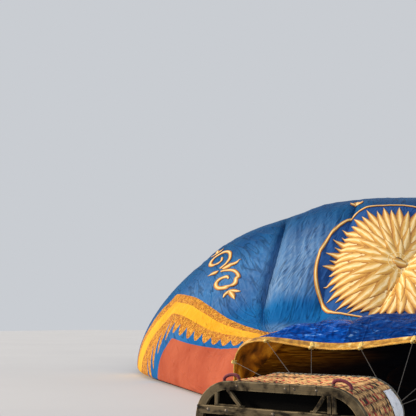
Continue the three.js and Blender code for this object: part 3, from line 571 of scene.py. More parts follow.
crinkle_reach = smooth_step(0.12, 0.3, along) * smooth_step(1.5, 0.8, along) * off_ground
crinkle = (
    1.4 * cloth_noise(beside_top / 0.45, along / 0.24, 7) + cloth_noise(beside_top / 0.18, along / 0.15, 8)
)
crinkle = crinkle + 0.5 * cloth_noise(beside_top / 0.09, along / 0.08, 9)
folds = folds + CRINKLE_DEPTH * crinkle * crinkle_reach
print("all folds from", round(float(folds.min()), 3), "to", round(float(folds.max()), 3), "m")

# %% The folded cloth, and its billow over the mouth
# The billow hangs lower at its left end, and a little lower at its crest.
END_LOWERED, CREST_LOWERED = 0.30, 0.07

end_of_billow = smooth_step(0.545, 0.635, share) * np.exp(-(((along - 0.95) / 0.55) ** 2)) * (share < 0.75)
cloth = smooth_cloth + cloth_out * folds[..., None]
billow_crest = (
    smooth_step(0.36, 0.44, share) * smooth_step(0.60, 0.52, share) * np.exp(-(((along - 1.0) / 0.5) ** 2))
)
cloth[..., 2] -= (END_LOWERED * end_of_billow + CREST_LOWERED * billow_crest) * off_ground
cloth[..., 2] = np.maximum(cloth[..., 2], FLOOR_GAP)
print("cloth from", np.round(cloth.min((0, 1)), 2), "to", np.round(cloth.max((0, 1)), 2))

# %% [markdown]
# Tapes, a ring and gold ornaments lie on the cloth. Each of them asks the same grid where it is, so they
# follow every fold. The answer is the blend of the four grid points around a place, lifted a few
# millimetres along the cloth's own direction out.

# %% Lie on the cloth
fold_out = grid_normals(cloth)
fold_out *= np.sign(np.einsum("ijk,ijk->ij", fold_out, cloth_out))[..., None]


def on_cloth(at_share, at_along, lift):
    """The bilinear blend of the cloth's four nearest grid points, plus lift along the blended normal."""
    at_share, at_along = np.broadcast_arrays(np.asarray(at_share, float), np.asarray(at_along, float))
    wrapped = (at_share - columns[0]) % 1 + columns[0]
    places = np.append(columns, columns[0] + 1)
    j = np.clip(np.searchsorted(places, wrapped, side="right") - 1, 0, len(columns) - 1)
    i = np.clip(np.searchsorted(rows, at_along, side="right") - 1, 0, len(rows) - 2)
    across = ((wrapped - places[j]) / (places[j + 1] - places[j]))[..., None]
    ahead = np.clip((at_along - rows[i]) / (rows[i + 1] - rows[i]), -1, 1)[..., None]
    next_j = (j + 1) % len(columns)

    def blend(grid):
        near = grid[i, j] * (1 - across) + grid[i, next_j] * across
        far = grid[i + 1, j] * (1 - across) + grid[i + 1, next_j] * across
        return near * (1 - ahead) + far * ahead

    return blend(cloth) + blend(fold_out) * np.asarray(lift, float)[..., None]


print("a point on the crest", np.round(on_cloth(0.5, 9.0, 0.0), 2))

# %% [markdown]
# ## Floor and light
# The floor is a plain pale sheet, far larger than the balloon. The world has nearly the same pale grey, so
# the horizon hardly shows. A wide soft sun shines from the left, and a weak one fills in from the right.

# %% Floor and world
FLOOR_HALF_SIZE, FLOOR_SUNK, WORLD_STRENGTH = 90.0, 0.003, 0.74
floor_points = (
    FLOOR_HALF_SIZE * np.array([(-1, -1, 0), (1, -1, 0), (1, 1, 0), (-1, 1, 0)]) - (0, 0, FLOOR_SUNK)
)
# Matt floor paint, rolled on, with very faint patches about 6,000 mm across.
floor_material, tree, shader = new_material("painted studio floor", {"Roughness": 0.9})
speckle = add(tree, "TexNoise", {"Scale": 30.0, "Detail": 3.0})
floor_paint = add(tree, "ValToRGB", {"Fac": speckle}, stops=[(0.3, "bec1c6"), (0.7, "c4c7cb")])
connect(tree, shader, {"Base Color": floor_paint})
floor_mesh = bpy.data.meshes.new("studio floor")
floor_mesh.from_pydata(floor_points.tolist(), [], [(0, 1, 2, 3)])
floor_mesh.materials.append(floor_material)
studio_floor = bpy.data.objects.new("studio_floor", floor_mesh)
bpy.context.collection.objects.link(studio_floor)

world = bpy.data.worlds.new("studio")
world.use_nodes = True
world.node_tree.nodes["Background"].inputs[0].default_value = linear("e6eaf0")
world.node_tree.nodes["Background"].inputs[1].default_value = WORLD_STRENGTH
bpy.context.scene.world = world
bpy.context.scene.view_settings.view_transform = "Standard"
print("floor", 2 * FLOOR_HALF_SIZE, "m wide")


# %% A soft sun and a weak fill
def sun(name, way, watts, softness, colour):
    """A sun lamp that shines along a direction, its shadow edge softened by its width in degrees."""
    data = bpy.data.lights.new(name, "SUN")
    data.energy, data.angle, data.color = watts, np.radians(softness), linear(colour)[:3]
    made = bpy.data.objects.new(name, data)
    bpy.context.collection.objects.link(made)
    flat = np.hypot(way[0], way[1])
    made.rotation_euler = (np.arctan2(flat, -way[2]), 0, np.arctan2(way[1], way[0]) - np.pi / 2)


sun("key light", (0.88, 0.35, -0.40), 4.3, 8.0, "ffebd0")
sun("fill light", (-0.60, 0.70, -0.50), 0.35, 40.0, "dfe9ff")
print("two lights ready")

# %% [markdown]
# ## Envelope cloth
# Balloon cloth is ripstop nylon with a polyurethane coat: smooth, slightly shiny and made in strong
# colours. The colours here are zones of the cloth, so each is found from a distance measured on the cloth,
# which is stored at every point of the mesh. A colour ramp turns the distance into paint with a sharp edge.

# %% Distances measured on the cloth
BAND_LOWEST, BAND_RISE, BAND_FLAT, BAND_HIGHEST = 2.6, 39.4, 0.09, 7.2
DISC_ARC, DISC_ALONG, DISC_WIDE, DISC_TALL, DISC_DEEP = 0.4815, 5.45, 2.06, 2.38, 2.84
DISC_POINTED = 1.35

from_middle = np.abs(share - 0.5)
band_edge = np.minimum(BAND_LOWEST + BAND_RISE * np.maximum(from_middle - BAND_FLAT, 0), BAND_HIGHEST)
below_band_edge = band_edge - along
arc_metres = (share + station_value(along, "turn") - DISC_ARC) * girth[:, None]
disc_height = np.where(along > DISC_ALONG, DISC_TALL, DISC_DEEP)
disc_power = np.where(along > DISC_ALONG, 2.0, 2.0 / DISC_POINTED)
from_disc = np.sqrt(
    np.abs(arc_metres / DISC_WIDE) ** disc_power + ((along - DISC_ALONG) / disc_height) ** 2
)
print("band edge from", BAND_LOWEST, "to", BAND_HIGHEST, "m beyond the mouth")

# %% Dust with painted highlights, the billow with its painted shade, and painted light inside
FRONT_DUST_AND_HIGHLIGHT, LOW_DUST_AND_HIGHLIGHT = 0.42, 0.6
BILLOW_HIGH, BILLOW_FALL, BILLOW_SIDES = 1.80, 1.76, (0.070, 0.127)

# Dust with a painted highlight: on the lobe beside the deepest fold, low behind the mouth, and faintly over
# the front.
lobe_dust_and_highlight = (
    smooth_step(0.600, 0.592, share) * smooth_step(0.520, 0.560, share) * smooth_step(4.25, 4.9, along)
)
low_dust_and_highlight = (
    LOW_DUST_AND_HIGHLIGHT * smooth_step(0.600, 0.590, share) * smooth_step(0.520, 0.550, share)
    * smooth_step(3.8, 3.3, along)
)
front_dust_and_highlight = (
    FRONT_DUST_AND_HIGHLIGHT * smooth_step(0.74, 0.68, share) * smooth_step(0.40, 0.50, share)
    * smooth_step(4.2, 5.2, along)
)
dust_and_highlight_zone = np.maximum(np.maximum(lobe_dust_and_highlight, front_dust_and_highlight) * smooth_step(8.2, 6.0, along), low_dust_and_highlight)
billow_top = BILLOW_HIGH - BILLOW_FALL * smooth_step(*BILLOW_SIDES, from_middle)
# The billow's right part is stored as 0.7, which later paints shade on it.
billow_and_painted_shade = smooth_step(0.06, -0.02, along - billow_top) * np.where(share < 0.4906, 0.7, 1.0)
# Painted light: amber inside near the mouth's left wall and far to the left of the basket, where daylight
# would come through.
painted_amber_wall = smooth_step(0.06, 0.11, share - 0.5) * (share < 0.90) * smooth_step(6.0, 2.5, along)
painted_amber_side = smooth_step(-4.6, -10.5, smooth_cloth[..., 0] - BASKET_X) * smooth_step(20.5, 18.5, along)
painted_amber_light = np.maximum(painted_amber_wall, painted_amber_side)
marks = np.stack([below_band_edge, from_middle, from_disc], -1)
dust_billow_and_light = np.stack([dust_and_highlight_zone, billow_and_painted_shade, painted_amber_light], -1)
print("two marks of", marks.shape, "values, dusty part", round(float((dust_and_highlight_zone > 0.2).mean()), 2))

# %% Ripstop nylon: the blue ground
# Coated nylon shows each crease. It is dyed blue, and dust from earlier landings makes it nearly matt. Pale
# streaks along its folds, about 100 mm wide and 280 mm long, are that dust with a painted highlight, and thin
# dark veins of painted crease shade lie between them. Towards the crest the blue is darkened by painted
# shade.
nylon, tree, shader = new_material("coated ripstop nylon", {"Specular IOR Level": 0.02})
where = add(tree, "UVMap", uv_map="cloth")
stored_marks = add(tree, "Attribute", attribute_name="marks").outputs["Vector"]
stored_dust_billow_and_light = add(tree, "Attribute", attribute_name="dust_billow_and_light").outputs["Vector"]
band, flank, disc = add(tree, "SeparateXYZ", {0: stored_marks}).outputs
dust_and_highlight, gloss, painted_amber = add(tree, "SeparateXYZ", {0: stored_dust_billow_and_light}).outputs

patches = add(tree, "TexNoise", {"Vector": where, "Scale": 0.7, "Detail": 5.0, "Roughness": 0.6})
blue = add(tree, "ValToRGB", {"Fac": patches}, stops=[(0.30, "094a88"), (0.52, "0b5794"), (0.75, "1263a0")])
at_side = add(tree, "ValToRGB", {"Fac": flank}, stops=[(0.088, 0.0), (0.100, 1.0)])
slanting = add(tree, "Mapping", {"Vector": where, "Rotation": (0, 0, 0.75)})
direction = add(tree, "Mix", {0: at_side, 4: where, 5: slanting}, data_type="VECTOR").outputs[1]
stretched = add(tree, "Mapping", {"Vector": direction, "Scale": (5.0, 1.9, 1.0)})
streaks = add(
    tree,
    "TexNoise",
    {"Vector": stretched, "Scale": 1.9, "Detail": 8.0, "Roughness": 0.62, "Distortion": 0.9},
)
pale = add(tree, "ValToRGB", {"Fac": streaks}, stops=[(0.38, 0.42), (0.53, 0.64), (0.66, 1.0)])
# Painted highlight: the pale streaks are mixed into the colour together with the dust.
dust_and_highlight_depth = add(tree, "Math", {0: dust_and_highlight, 1: 0.42, 2: 0.01}, operation="MULTIPLY_ADD")
dust_and_highlight_amount = add(tree, "Math", {0: dust_and_highlight_depth, 1: pale}, operation="MULTIPLY")
cloth_dust_and_painted_light = add(tree, "Mix", {0: dust_and_highlight_amount, 6: blue, 7: linear("9fb4c6")})
# Painted shade: the blue is darkened to 0.6 towards the crest, from 6.4 m to 8 m beyond the mouth.
up_cloth = add(tree, "SeparateXYZ", {0: where}).outputs[1]
at_crest = add(tree, "Math", {0: up_cloth, 1: 0.05}, operation="MULTIPLY")
crest_shade = add(tree, "ValToRGB", {"Fac": at_crest}, stops=[(0.32, 1.05), (0.40, 0.60)])
cloth_dust_and_painted_light = add(tree, "Mix", {0: 1.0, 6: cloth_dust_and_painted_light, 7: crest_shade}, blend_type="MULTIPLY")
# Painted crease shade: thin dark veins, with a faint painted highlight along their sides.
vein_space = add(tree, "Mapping", {"Vector": direction, "Scale": (4.2, 0.38, 1.0)})
vein_noise = add(tree, "TexNoise", {"Vector": vein_space, "Scale": 1.0, "Detail": 1.5, "Distortion": 0.2})
off_middle = add(tree, "Math", {0: vein_noise, 1: 0.5}, operation="SUBTRACT")
vein = add(tree, "Math", {0: off_middle}, operation="ABSOLUTE")
vein_shade = add(
    tree, "ValToRGB", {"Fac": vein}, stops=[(0.0, 0.60), (0.012, 0.76), (0.030, 1.12), (0.075, 1.0)]
)
cloth_dust_and_painted_light = add(tree, "Mix", {0: 1.0, 6: cloth_dust_and_painted_light, 7: vein_shade}, blend_type="MULTIPLY")
in_disc = add(tree, "Math", {0: disc, 1: 1.0}, operation="LESS_THAN")
disc_blue = add(tree, "ValToRGB", {"Fac": patches}, stops=[(0.3, "1f437d"), (0.7, "2a5490")])
ground = add(tree, "Mix", {0: in_disc, 6: cloth_dust_and_painted_light, 7: disc_blue})
print("blue ground with dust streaks")

# %% Ripstop nylon: the gold band
# The band is 1.5 m wide: a bright stripe between two stripes of fine brown tracery. Its lines come from a
# noise of 140 mm patches, laid over cells of 110 mm.
BAND_SCALE, BRIGHT_FROM, BRIGHT_TO = 3.0, 0.45, 1.08

round_cloth = add(tree, "SeparateXYZ", {0: where}).outputs[0]
tracery = add(tree, "TexVoronoi", {"Vector": where, "Scale": 9.0}, feature="DISTANCE_TO_EDGE")
bent = add(tree, "TexNoise", {"Vector": where, "Scale": 7.0, "Detail": 4.0, "Distortion": 1.6})
lines = add(tree, "ValToRGB", {"Fac": bent}, stops=[(0.45, 1.0), (0.485, 0.0), (0.515, 0.0), (0.55, 1.0)])
gold_patches = add(tree, "ValToRGB", {"Fac": patches}, stops=[(0.35, "cf9420"), (0.65, "e6af30")])
traced = add(tree, "Mix", {0: lines, 6: linear("5f3412"), 7: linear("cf9738")})
between_cells = add(tree, "ValToRGB", {"Fac": tracery}, stops=[(0.0, 0.0), (0.12, 1.0)])
traced = add(tree, "Mix", {0: between_cells, 6: linear("a8632a"), 7: traced})
place = add(tree, "Math", {0: band, 1: 1 / BAND_SCALE}, operation="MULTIPLY")
stripes = [(0.0, 1.0), (BRIGHT_FROM / BAND_SCALE, 0.0), (BRIGHT_TO / BAND_SCALE, 1.0)]
striped = add(tree, "ValToRGB", {"Fac": place}, stops=stripes)
striped.color_ramp.interpolation = "CONSTANT"
gold = add(tree, "Mix", {0: striped, 6: gold_patches, 7: traced})
print("gold band and its tracery")

# %% Ripstop nylon: fringe, red flanks and royal blue billow
# A fringe of gold tongues, 450 mm apart, hangs below the band. Further down the cloth is red-orange at the
# flanks and royal blue between them. On the royal blue, hard glints about 300 mm wide and 90 mm high are
# painted reflections, and its right part has painted shade.
FRINGE_FROM, FRINGE_LENGTH, TONGUE_SPACING = 1.5, 0.55, 0.45
RED_FROM, FLANK_FROM = 2.3, 0.13
tongue_phase = add(tree, "Math", {0: round_cloth, 1: np.pi / TONGUE_SPACING}, operation="MULTIPLY")
tongue_wave = add(tree, "Math", {0: tongue_phase}, operation="SINE")
tongue = add(tree, "Math", {0: tongue_wave}, operation="ABSOLUTE")
fringe_end = add(tree, "Math", {0: tongue, 1: FRINGE_LENGTH, 2: FRINGE_FROM}, operation="MULTIPLY_ADD")
in_band = add(tree, "Math", {0: band, 1: 0.0}, operation="GREATER_THAN")
above_fringe = add(tree, "Math", {0: band, 1: fringe_end}, operation="LESS_THAN")
is_gold = add(tree, "Math", {0: in_band, 1: above_fringe}, operation="MULTIPLY")
past_blue = add(tree, "Math", {0: band, 1: RED_FROM}, operation="GREATER_THAN")
at_flank = add(tree, "Math", {0: flank, 1: FLANK_FROM}, operation="GREATER_THAN")
is_red = add(tree, "Math", {0: past_blue, 1: at_flank}, operation="MULTIPLY")
red = add(tree, "ValToRGB", {"Fac": patches}, stops=[(0.35, "96442e"), (0.65, "ad5a40")])
glints = add(tree, "Mapping", {"Vector": where, "Scale": (1.3, 4.2, 1.0)})
glints = add(
    tree, "TexNoise", {"Vector": glints, "Scale": 2.6, "Detail": 6.0, "Roughness": 0.62, "Distortion": 1.3}
)
royal = add(
    tree,
    "ValToRGB",
    {"Fac": glints},
    stops=[(0.36, "02286c"), (0.48, "043d90"), (0.57, "084fac"), (0.62, "2467c0"), (0.67, "7da6e0")],
)
painted = add(tree, "Mix", {0: is_red, 6: ground, 7: red})
painted = add(tree, "Mix", {0: is_gold, 6: painted, 7: gold})
# Painted shade: the billow's right part is darkened to 0.55.
shaded = add(tree, "ValToRGB", {"Fac": gloss}, stops=[(0.72, 0.55), (0.95, 1.0)])
royal = add(tree, "Mix", {0: 1.0, 6: royal, 7: shaded}, blend_type="MULTIPLY")
on_lower = add(tree, "Math", {0: gloss, 1: 0.35}, operation="GREATER_THAN")
painted = add(tree, "Mix", {0: on_lower, 6: painted, 7: royal})
connect(tree, shader, {"Base Color": painted})
print("fringe, red flanks and royal blue billow")

# %% Ripstop nylon: gloss, creases and weave
# Ripstop threads are 5 mm apart, drawn 40 mm apart so that they show faintly at this distance. Creases are
# about 120 mm apart and 310 mm long. Those on the billow are 200 mm each way and harder.
RIPSTOP_SPACING = 0.040
rough = add(tree, "Math", {0: streaks, 1: 0.25, 2: 0.34}, operation="MULTIPLY_ADD")
glossy = add(tree, "Math", {0: gloss, 1: -0.28, 2: rough}, operation="MULTIPLY_ADD")
crease_space = add(tree, "Mapping", {"Vector": direction, "Scale": (8.5, 3.2, 1.0)})
long_creases = add(
    tree,
    "TexNoise",
    {"Vector": crease_space, "Scale": 1.0, "Detail": 5.0, "Roughness": 0.55, "Distortion": 0.5},
    noise_type="RIDGED_MULTIFRACTAL",
)
short_creases = add(
    tree,
    "TexNoise",
    {"Vector": where, "Scale": 5.0, "Detail": 5.0, "Distortion": 0.8},
    noise_type="RIDGED_MULTIFRACTAL",
)
billow_creases = add(tree, "Math", {0: short_creases, 1: 2.4}, operation="MULTIPLY")
crease_mix = add(tree, "Math", {0: gloss, 1: billow_creases, 2: long_creases}, operation="MULTIPLY_ADD")
thread_scale = np.pi / RIPSTOP_SPACING / 10
threads = add(tree, "TexWave", {"Vector": where, "Scale": thread_scale})
crossed = add(tree, "TexWave", {"Vector": where, "Scale": thread_scale}, bands_direction="Y")
grid_of_threads = add(tree, "Math", {0: threads, 1: crossed}, operation="MAXIMUM")
weave = add(tree, "Bump", {"Height": grid_of_threads, "Strength": 0.15, "Distance": 0.0015})
creased = add(tree, "Bump", {"Height": crease_mix, "Normal": weave, "Strength": 1.0, "Distance": 0.040})
connect(tree, shader, {"Roughness": glossy, "Normal": creased})
print("creases and threads")

# %% Inside of the cloth
# Daylight that would shine through the gold and red cloth at the flanks is painted in as amber, and the
# whole inside glows weakly in its own colour, a painted light. Further in, the blue cloth is painted nearly
# black as shade. Its folds are about 400 mm across.
lining, tree, shader = new_material(
    "ripstop nylon seen from inside", {"Roughness": 0.6, "Emission Strength": 0.16}
)
where = add(tree, "UVMap", uv_map="cloth")
stored_dust_billow_and_light = add(tree, "Attribute", attribute_name="dust_billow_and_light").outputs["Vector"]
painted_amber = add(tree, "SeparateXYZ", {0: stored_dust_billow_and_light}).outputs[2]
folds_inside = add(tree, "TexNoise", {"Vector": where, "Scale": 2.5, "Detail": 6.0, "Distortion": 0.8})
# Painted shade: the inside is nearly black where no daylight is painted.
dark = add(tree, "ValToRGB", {"Fac": folds_inside}, stops=[(0.35, "05070b"), (0.7, "11151d")])
painted_warm_glow = add(
    tree,
    "ValToRGB",
    {"Fac": folds_inside},
    stops=[(0.36, "482402"), (0.50, "96560a"), (0.60, "c87f16"), (0.70, "f0b23c")],
)
inside = add(tree, "Mix", {0: painted_amber, 6: dark, 7: painted_warm_glow})
ruffled = add(tree, "Bump", {"Height": folds_inside, "Strength": 0.8, "Distance": 0.03})
connect(tree, shader, {"Base Color": inside, "Emission Color": inside, "Normal": ruffled})
print("lining ready")

# %% [markdown]
# The grid is cut at every second seam, which gives the eight pairs of gores. Each pair is one sheet of
# cloth, 4 mm thick here so that its two sides never flicker. The real cloth is far thinner.

# %% Eight pairs of gores
CLOTH_THICKNESS = 0.004
cloth_uv = np.stack([beside_top, along], -1)


def store_vectors(piece, name, values):
    """Store one vector for each point of a mesh under a name."""
    layer = piece.data.attributes.new(name, "FLOAT_VECTOR", "POINT")
    layer.data.foreach_set("vector", np.ascontiguousarray(values, dtype=np.float32).ravel())


def gore_pair(number):
    """The cloth between seam 2n and seam 2n + 2, both seams with it: every row, and those columns."""
    first, last = seam_column[2 * number], seam_column[2 * number + 2]
    chosen = np.arange(first, last + 1) % len(columns)
    points, uv = cloth[:, chosen], cloth_uv[:, chosen].copy()
    uv[..., 0] = np.unwrap(uv[..., 0] / girth[:, None], period=1, axis=1) * girth[:, None]
    faces = grid_faces(len(rows), len(chosen))
    name = f"gore_cloth_{number + 1:02d}"
    made = make_piece(name, points, faces, nylon, uv=uv, stands_for=[f"gore_pair_{number + 1:02d}"])
    made.data.materials.append(lining)
    store_vectors(made, "marks", marks[:, chosen])
    store_vectors(made, "dust_billow_and_light", dust_billow_and_light[:, chosen])
    middle = len(rows) // 2 * len(chosen) + len(chosen) // 2
    if np.dot(made.data.vertices[middle].normal, cloth_out[len(rows) // 2, chosen[len(chosen) // 2]]) < 0:
        made.data.flip_normals()
    thicken(made, CLOTH_THICKNESS, -1.0, 1)
    breadth = np.linalg.norm(np.diff(points, axis=1), axis=2).sum(1)
    length = np.linalg.norm(np.diff(points, axis=0), axis=2).sum(0)
    area = float((0.5 * (breadth[1:] + breadth[:-1]) * np.diff(rows)).sum())
    return made, float(breadth.max()), float(length.max()), area


for number in range(PANELS):
    made, breadth, length, area = gore_pair(number)
    print(
        made.name, "widest", round(breadth, 2), "m, long", round(length, 2), "m, area", round(area, 1), "m2"
    )

# %% [markdown]
# ## Hem, load tapes and tabs
# The mouth is edged with a strip of gold cloth folded over a rope, so that it doesn't tear. Along each seam
# a load tape carries the pull of the basket. It leaves the hem as a short loop of webbing, which holds a
# steel ring, and the flying wire is hooked to the ring.

# %% Gold hem round the mouth
HEM_SHARES = np.linspace(0, 1, 385)[:-1] + 0.5 / GORES
HEM_ROWS = np.array([0.134, 0.118, 0.10, 0.08, 0.06, 0.04, 0.022, 0.008, 0.0])
HEM_PROUD = np.array([0.001, 0.005, 0.0055, 0.006, 0.006, 0.0065, 0.007, 0.007, 0.004])
EDGE_ROPE_RADIUS, ROPE_INSET = 0.011, 0.004
HEM_THICKNESS, HEM_SCALLOP, HEM_WAVE = 0.006, 0.016, 0.006

hem_base, hem_girth = envelope_grid(HEM_ROWS, HEM_SHARES)
hem_out = grid_normals(hem_base)
middle_top = np.argmin(np.abs(HEM_SHARES - 0.5))
hem_out *= np.sign(hem_out[4, middle_top, 2])
between_tapes = np.sin(np.pi * ((HEM_SHARES * GORES - 0.5) % 1))
wavy = HEM_WAVE * cloth_noise(HEM_SHARES * 150, HEM_SHARES * 31, 71)
hem_points = hem_base + hem_out * (HEM_PROUD[:, None] + wavy * (HEM_ROWS[:, None] < 0.1))[..., None]
hem_points[..., 1] += HEM_SCALLOP * between_tapes * smooth_step(0.10, 0.0, HEM_ROWS)[:, None]
hem_points[..., 2] = np.maximum(hem_points[..., 2], FLOOR_GAP)
print("hem", hem_points.shape[:2], "points")

# %% Gold hem cloth
# The hem is dyed nylon folded over a rope and sewn in rows 12 mm apart. Its colour has a painted highlight
# on the rope edge and near the top, with painted shade just behind the rope, and it is soiled in patches of
# about 170 mm.
gold_webbing, tree, shader = new_material("gold hem cloth over rope", {"Specular IOR Level": 0.4})
where = add(tree, "UVMap", uv_map="cloth")
soiling = add(tree, "TexNoise", {"Vector": where, "Scale": 6.0, "Detail": 6.0, "Roughness": 0.65})
hem_gold = add(
    tree,
    "ValToRGB",
    {"Fac": soiling},
    stops=[(0.3, "5e3f0e"), (0.45, "a8741f"), (0.55, "cf9a34"), (0.68, "f3d78e")],
)
across_hem = add(tree, "SeparateXYZ", {0: where}).outputs[1]
from_edge = add(tree, "Math", {0: across_hem, 1: 1 / HEM_ROWS[0]}, operation="MULTIPLY")
# Painted highlight and shade across the hem: lighter on the rope edge and near the top, darker just behind
# the rope.
hem_highlight_and_shade = add(
    tree,
    "ValToRGB",
    {"Fac": from_edge},
    stops=[(0.0, 1.3), (0.14, 1.15), (0.24, 0.70), (0.60, 0.85), (0.9, 1.2)],
)
hem_gold = add(tree, "Mix", {0: 1.0, 6: hem_gold, 7: hem_highlight_and_shade}, blend_type="MULTIPLY")
ribs = add(tree, "TexWave", {"Vector": where, "Scale": np.pi / 0.012 / 10}, bands_direction="Y")
stitch_bump = add(tree, "Bump", {"Height": ribs, "Strength": 0.5, "Distance": 0.002})
soiled_gloss = add(tree, "Math", {0: soiling, 1: 0.4, 2: 0.3}, operation="MULTIPLY_ADD")
connect(tree, shader, {"Base Color": hem_gold, "Normal": stitch_bump, "Roughness": soiled_gloss})
hem_uv = np.stack(np.broadcast_arrays(HEM_SHARES[None] * hem_girth[0], HEM_ROWS[:, None]), -1)
hem_faces = grid_faces(len(HEM_ROWS), len(HEM_SHARES), round_columns=True)
hem = make_piece("hem_strip", hem_points, hem_faces, gold_webbing, uv=hem_uv, stands_for=["mouth_hem"])
if np.dot(hem.data.vertices[4 * len(HEM_SHARES) + middle_top].normal, hem_out[4, middle_top]) < 0:
    hem.data.flip_normals()
thicken(hem, HEM_THICKNESS, -1.0)
print("hem", round(float(hem_girth[0]), 2), "m round the mouth")

# %% Rope in the hem's edge
rope_path = hem_base[-1] - hem_out[-1] * ROPE_INSET
rope_path[:, 1] += HEM_SCALLOP * between_tapes - ROPE_INSET
rope_path[:, 2] = np.maximum(rope_path[:, 2], EDGE_ROPE_RADIUS)
swept_piece("hem_rope_sleeve", rope_path, (0, 1, 0), circle(EDGE_ROPE_RADIUS, 8), gold_webbing, closed=True)
print("hem rope", 2000 * EDGE_ROPE_RADIUS, "mm thick")

# %% Load tapes along the sixteen seams
# A strip 34 mm wide with rounded edges, of the same cloth, laid over the seam on the folded cloth.
TAPE_HALF_WIDTH = 0.017
TAPE_ACROSS = np.array([-1.0, -0.75, 0.75, 1.0])
TAPE_LIFT = np.array([-0.001, 0.004, 0.004, -0.001])

tape_rows = rows[1:-1:2]
tape_girth = np.interp(tape_rows, rows, girth)
tape_points, tape_uv, tape_marks, tape_dust_billow_and_light = [], [], [], []
for tape in range(GORES):
    seam = (tape + 0.5) / GORES
    at_share = seam + TAPE_ACROSS[None] * TAPE_HALF_WIDTH / tape_girth[:, None]
    at_along = np.broadcast_to(tape_rows[:, None], at_share.shape)
    strip = on_cloth(at_share, at_along, np.broadcast_to(TAPE_LIFT, at_share.shape))
    strip[..., 2] = np.maximum(strip[..., 2], 0.0005)
    column = seam_column[tape]
    tape_points.append(strip)
    tape_uv.append(np.stack([(at_share - 0.5) * tape_girth[:, None], at_along], -1))
    tape_marks.append(np.repeat(marks[1:-1:2, column][:, None], 4, 1))
    tape_dust_billow_and_light.append(np.repeat(dust_billow_and_light[1:-1:2, column][:, None], 4, 1) * (0.3, 1, 1))
one_tape = grid_faces(len(tape_rows), 4)
tape_faces = np.concatenate([one_tape[:, ::-1] + k * len(tape_rows) * 4 for k in range(GORES)])
tapes = make_piece("load_tapes", np.array(tape_points), tape_faces, nylon, uv=np.array(tape_uv))
store_vectors(tapes, "marks", np.array(tape_marks))
store_vectors(tapes, "dust_billow_and_light", np.array(tape_dust_billow_and_light))
print("load tapes", GORES, "each", 2000 * TAPE_HALF_WIDTH, "mm wide")


# %% Shapes of the tabs and rings
RING_RADIUS, RING_BAR, RING_SUNK, RING_POINTS, RING_BAR_SIDES = 0.020, 0.004, 0.005, 16, 6


def surface_out(seam):
    """Out of the mouth's rim at a seam: the hem's stored direction at the nearest share."""
    wrapped = (seam - HEM_SHARES[0]) % 1 + HEM_SHARES[0]
    return hem_out[-1, np.argmin(np.abs(HEM_SHARES - wrapped))]


def tab_points(tape):
    """A loop of webbing: its middle line comes down the cloth, goes round the ring and back up inside. Its
    width grows from 52 mm at the ring to 76 mm on the hem."""
    seam = (tape + 0.5) / GORES
    base, _ = envelope_grid(np.array([0.34, 0.17, 0.0]), np.array([seam, seam + 0.001]))
    side = base[2, 1] - base[2, 0]
    side /= np.linalg.norm(side)
    out = surface_out(seam)
    upper = [on_cloth(seam, a, 0.012) for a in (0.12, 0.10, 0.075)]
    edge = base[2, 0]
    route = [
        *upper, edge + out * 0.018 + (0, 0.04, 0), edge + out * 0.021, edge + out * 0.017 + (0, -0.045, 0)
    ]
    route += [
        edge - out * 0.008 + (0, -0.068, 0), edge - out * 0.032 + (0, -0.045, 0), edge - out * 0.036,
        edge - out * 0.020 + (0, 0.06, 0),
    ]
    half = np.array([0.014, 0.026, 0.034, 0.038, 0.034, 0.028, 0.026, 0.030, 0.034, 0.028])
    across = np.array([-1.0, -0.5, 0.0, 0.5, 1.0])
    puff = 0.008 * (1 - across**2)[None, :, None] * out
    return np.array(route)[:, None] + half[:, None, None] * across[None, :, None] * side + puff


def ring_points(tape):
    """A torus that lies flat in the webbing: a circle of 20 mm radius, and a bar of 4 mm radius round it."""
    seam = (tape + 0.5) / GORES
    rim, _ = envelope_grid(np.array([0.0, 0.01]), np.array([seam, seam + 0.001]))
    side = (rim[0, 1] - rim[0, 0]) / np.linalg.norm(rim[0, 1] - rim[0, 0])
    turn = even_angles(RING_POINTS)
    centre = rim[0, 0] + (0, -0.046, 0) - surface_out(seam) * RING_SUNK
    ring = np.cos(turn)[:, None] * side + np.sin(turn)[:, None] * np.array([0, 1, 0])
    path = centre + RING_RADIUS * ring
    return sweep(path, surface_out(seam), circle(RING_BAR, RING_BAR_SIDES), closed=True)


print("ring", round(2000 * (RING_RADIUS + RING_BAR)), "mm across")


# %% Tabs and rings at the ends of the tapes
def joined(name, grids, faces_of_one, material, **more):
    """Many equal grids as one object: the faces of one, shifted by its number of points for each."""
    size = int(np.prod(np.shape(grids[0])[:-1]))
    faces = np.concatenate([np.asarray(faces_of_one) + k * size for k in range(len(grids))])
    return make_piece(name, np.array(grids), faces, material, **more)


# Polyester webbing is woven flat and takes dirt in blotches of about 33 mm.
tab_webbing = grained(
    "pale polyester webbing",
    {"Roughness": 0.7, "Specular IOR Level": 0.3},
    {"Scale": 30.0, "Detail": 5.0},
    [(0.3, "b58c3a"), (0.5, "e2bc60"), (0.7, "f6e4a8")],
    bump=(0.6, 0.003),
    on_map=True,
)
TAB_ROWS, TAB_COLUMNS, WEBBING_THICKNESS = 10, 5, 0.003
one_tab = grid_faces(TAB_ROWS, TAB_COLUMNS)
one_tab_uv = pairs(np.arange(TAB_ROWS) * 0.06, np.arange(TAB_COLUMNS) * 0.02)
tab_uv = np.broadcast_to(one_tab_uv, (GORES, *one_tab_uv.shape))
above_floor = (-99, -99, FLOOR_GAP)
tab_grids = [np.maximum(tab_points(t), above_floor) for t in range(GORES)]
tabs = joined("webbing_tabs", tab_grids, one_tab, tab_webbing, uv=tab_uv)
thicken(tabs, WEBBING_THICKNESS, 0.0)
one_ring = grid_faces(RING_POINTS, RING_BAR_SIDES, True, True)
joined("tab_rings", [ring_points(t) for t in range(GORES)], one_ring, steel)
print("tabs and rings", GORES)

